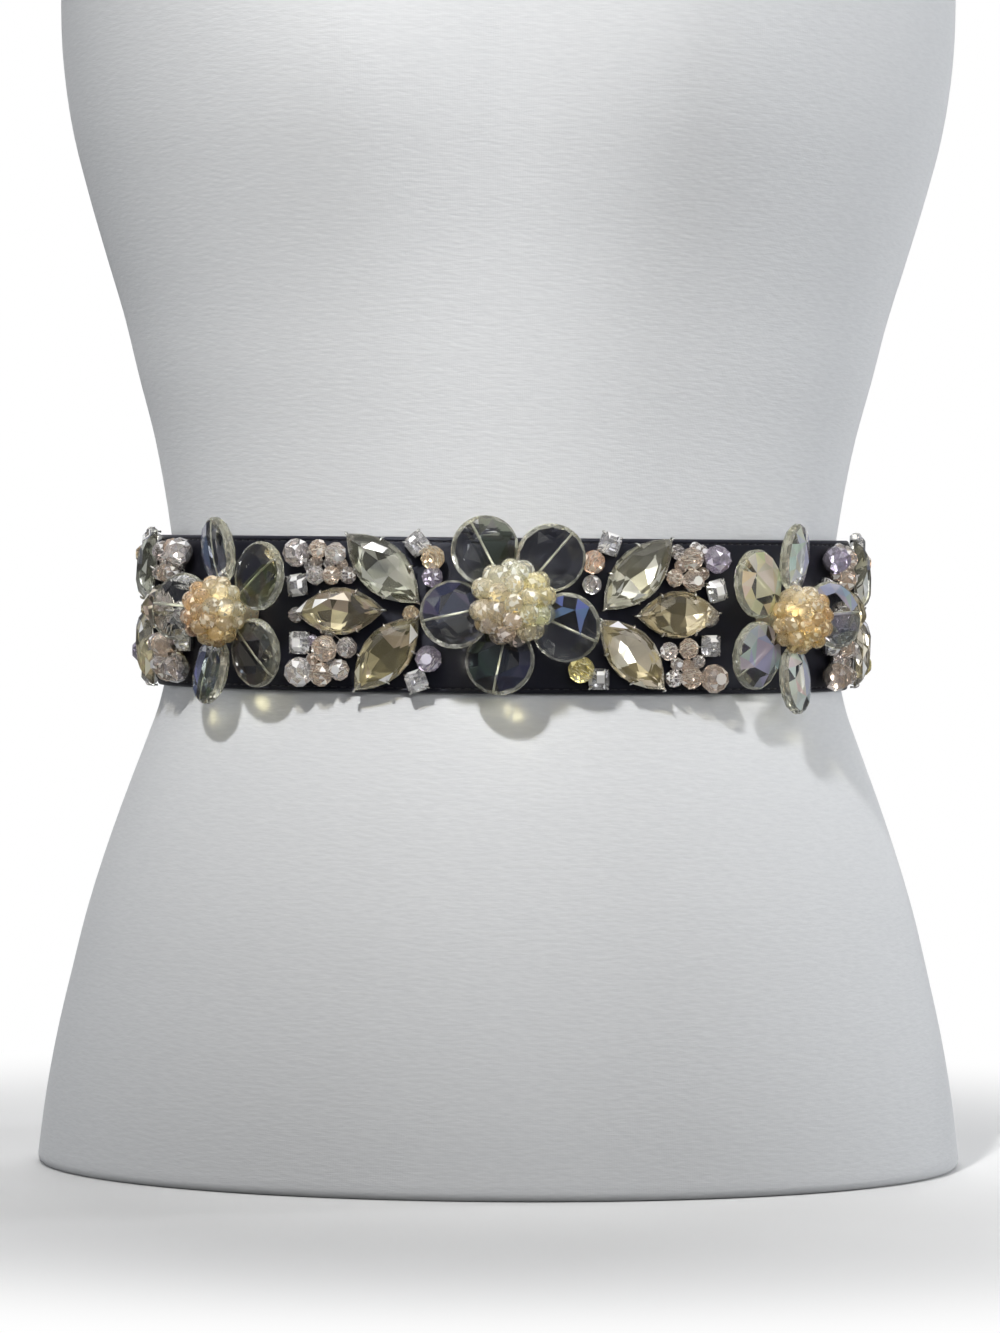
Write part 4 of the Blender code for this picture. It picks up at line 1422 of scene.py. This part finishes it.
studio = {
    "surround": (1.0, 1.0, 1.0),
    "ambient": 0.18,
    "ambientColour": (0.97, 0.98, 1.0),
    "patchScale": 3.2,
    # what glass and metal mirror, by the noise's value: in front, and overhead
    "frontPatches": [(0.41, (0.05, 0.05, 0.06)), (0.48, (0.24, 0.26, 0.38)), (0.52, (0.05, 0.05, 0.06)),
                     (0.59, (0.50, 0.52, 0.60)), (0.63, (1.1, 1.1, 1.05)), (0.68, (0.08, 0.08, 0.09))],
    "overheadPatches": [(0.42, (0.25, 0.26, 0.28)), (0.50, (2.4, 2.4, 2.3)), (0.58, (0.5, 0.5, 0.5)),
                        (0.64, (2.4, 2.4, 2.5))],
    "overheadStart": 0.40,
    "overheadEnd": 0.66,
    "floorColour": (0.86, 0.86, 0.86),
    "floorRoughness": 0.7,
    "bounceColour": (0.30, 0.30, 0.30),
    "floorRadius": 40.0,
    "floorSides": 96,
    "fadeStart": 0.17,
    "fadeEnd": 0.42,
    # name, place, what it looks at, width, height, spread in degrees, watts, colour
    "lamps": [
        ("keyLamp", (-0.32, -0.90, 1.10), (0.0, -0.08, 0.22), 0.08, 0.08, 30.0, 0.41, (1.0, 0.99, 0.97)),
        ("shoulderLamp", (0.0, -1.10, 1.55), (0.0, 0.0, 0.62), 0.20, 0.20, 16.0, 0.10, (1.0, 0.99, 0.97)),
        ("frontLamp", (0.30, -1.30, 0.60), (0.05, -0.08, 0.35), 0.50, 0.30, 40.0, 0.27, (1.0, 1.0, 1.0)),
        ("rightFill", (1.35, -0.75, 0.50), (0.0, 0.0, 0.26), 0.30, 0.60, 120.0, 1.35, (0.94, 0.97, 1.0)),
        ("rightSide", (1.25, 0.25, 0.25), (0.0, 0.0, 0.25), 0.14, 0.60, 120.0, 3.5, (0.96, 0.98, 1.0)),
        ("leftSide", (-1.25, 0.25, 0.25), (0.0, 0.0, 0.25), 0.14, 0.60, 120.0, 1.7, (0.94, 0.97, 1.0)),
        ("backLamp", (0.20, 1.50, 1.30), (0.0, 0.0, 0.20), 1.20, 0.80, 120.0, 7.0, (1.0, 1.0, 1.0)),
    ],
}


def makeFloor():
    material, tree, _ = newMaterial("paleFloor", {
        "Base Color": opaque(studio["floorColour"]), "Roughness": studio["floorRoughness"]})
    fade = fadeNode(tree, lengthNode(tree, whereNode(tree)), studio["fadeStart"], studio["fadeEnd"])
    seen = addNode(tree, "ShaderNodeLightPath").outputs["Is Camera Ray"]
    glow = addNode(tree, "ShaderNodeEmission", {"Color": opaque(studio["surround"])}).outputs["Emission"]
    dull = addNode(tree, "ShaderNodeBsdfDiffuse", {"Color": opaque(studio["bounceColour"])}).outputs["BSDF"]
    near = mixNode(tree, seen, dull, tree.nodes["Principled BSDF"].outputs["BSDF"])
    tree.links.new(mixNode(tree, mathNode(tree, "MULTIPLY", fade, seen), near, glow),
                   tree.nodes["Material Output"].inputs["Surface"])
    ring = circle(studio["floorRadius"], studio["floorSides"], 0.0)
    addObject("floor", makeMesh("floor", ring, [tuple(range(len(ring)))], [material]))


def noiseRamp(tree, value, stops):
    ramp = addNode(tree, "ShaderNodeValToRGB", {"Fac": value})
    marks = ramp.color_ramp.elements
    while len(marks) < len(stops):
        marks.new(0.5)
    for mark, (position, colour) in zip(marks, stops):
        mark.position = position
        mark.color = opaque(colour)
    return ramp.outputs["Color"]


def makeSurround():  # white to the lens, patches to what mirrors it, and an even glow to all else
    world = bpy.data.worlds.new("surround")
    bpy.context.scene.world = world
    world.use_nodes = True
    tree = world.node_tree
    place = whereNode(tree, "Generated")
    noise = addNode(tree, "ShaderNodeTexNoise", {
        "Vector": place, "Scale": studio["patchScale"], "Detail": 1.0})
    rise = addNode(tree, "ShaderNodeSeparateXYZ", {"Vector": place}).outputs["Z"]
    front, overhead = (noiseRamp(tree, noise.outputs["Fac"], studio[stops])
                       for stops in ("frontPatches", "overheadPatches"))
    height = fadeNode(tree, rise, studio["overheadStart"], studio["overheadEnd"])
    colour = blendNode(tree, height, front, overhead)
    patches = addNode(tree, "ShaderNodeBackground", {"Color": colour}).outputs["Background"]
    plain = addNode(tree, "ShaderNodeBackground", {
        "Color": opaque(studio["ambientColour"]), "Strength": studio["ambient"]}).outputs["Background"]
    shown = tree.nodes["Background"]
    shown.inputs["Color"].default_value = opaque(studio["surround"])
    path = addNode(tree, "ShaderNodeLightPath").outputs
    mirrored = mathNode(tree, "MAXIMUM", path["Is Glossy Ray"], path["Is Transmission Ray"])
    unseen = mixNode(tree, mirrored, plain, patches)
    tree.links.new(mixNode(tree, path["Is Camera Ray"], unseen, shown.outputs["Background"]),
                   tree.nodes["World Output"].inputs["Surface"])


def makeLamps():
    for name, place, aim, wide, high, spread, watts, colour in studio["lamps"]:
        data = bpy.data.lights.new(name, "AREA")
        data.shape = "RECTANGLE"
        data.size = wide
        data.size_y = high
        data.spread = math.radians(spread)
        data.energy = watts
        data.color = colour
        lamp = addObject(name, data)
        lamp.visible_glossy = name == "keyLamp"
        run = Vector(aim) - Vector(place)
        lamp.matrix_world = Matrix.Translation(place) @ run.to_track_quat("-Z", "Y").to_matrix().to_4x4()


makeFloor()
makeSurround()
makeLamps()
bpy.context.scene.view_settings.view_transform = "Standard"
print("stage set")

bpy.context.view_layer.update()
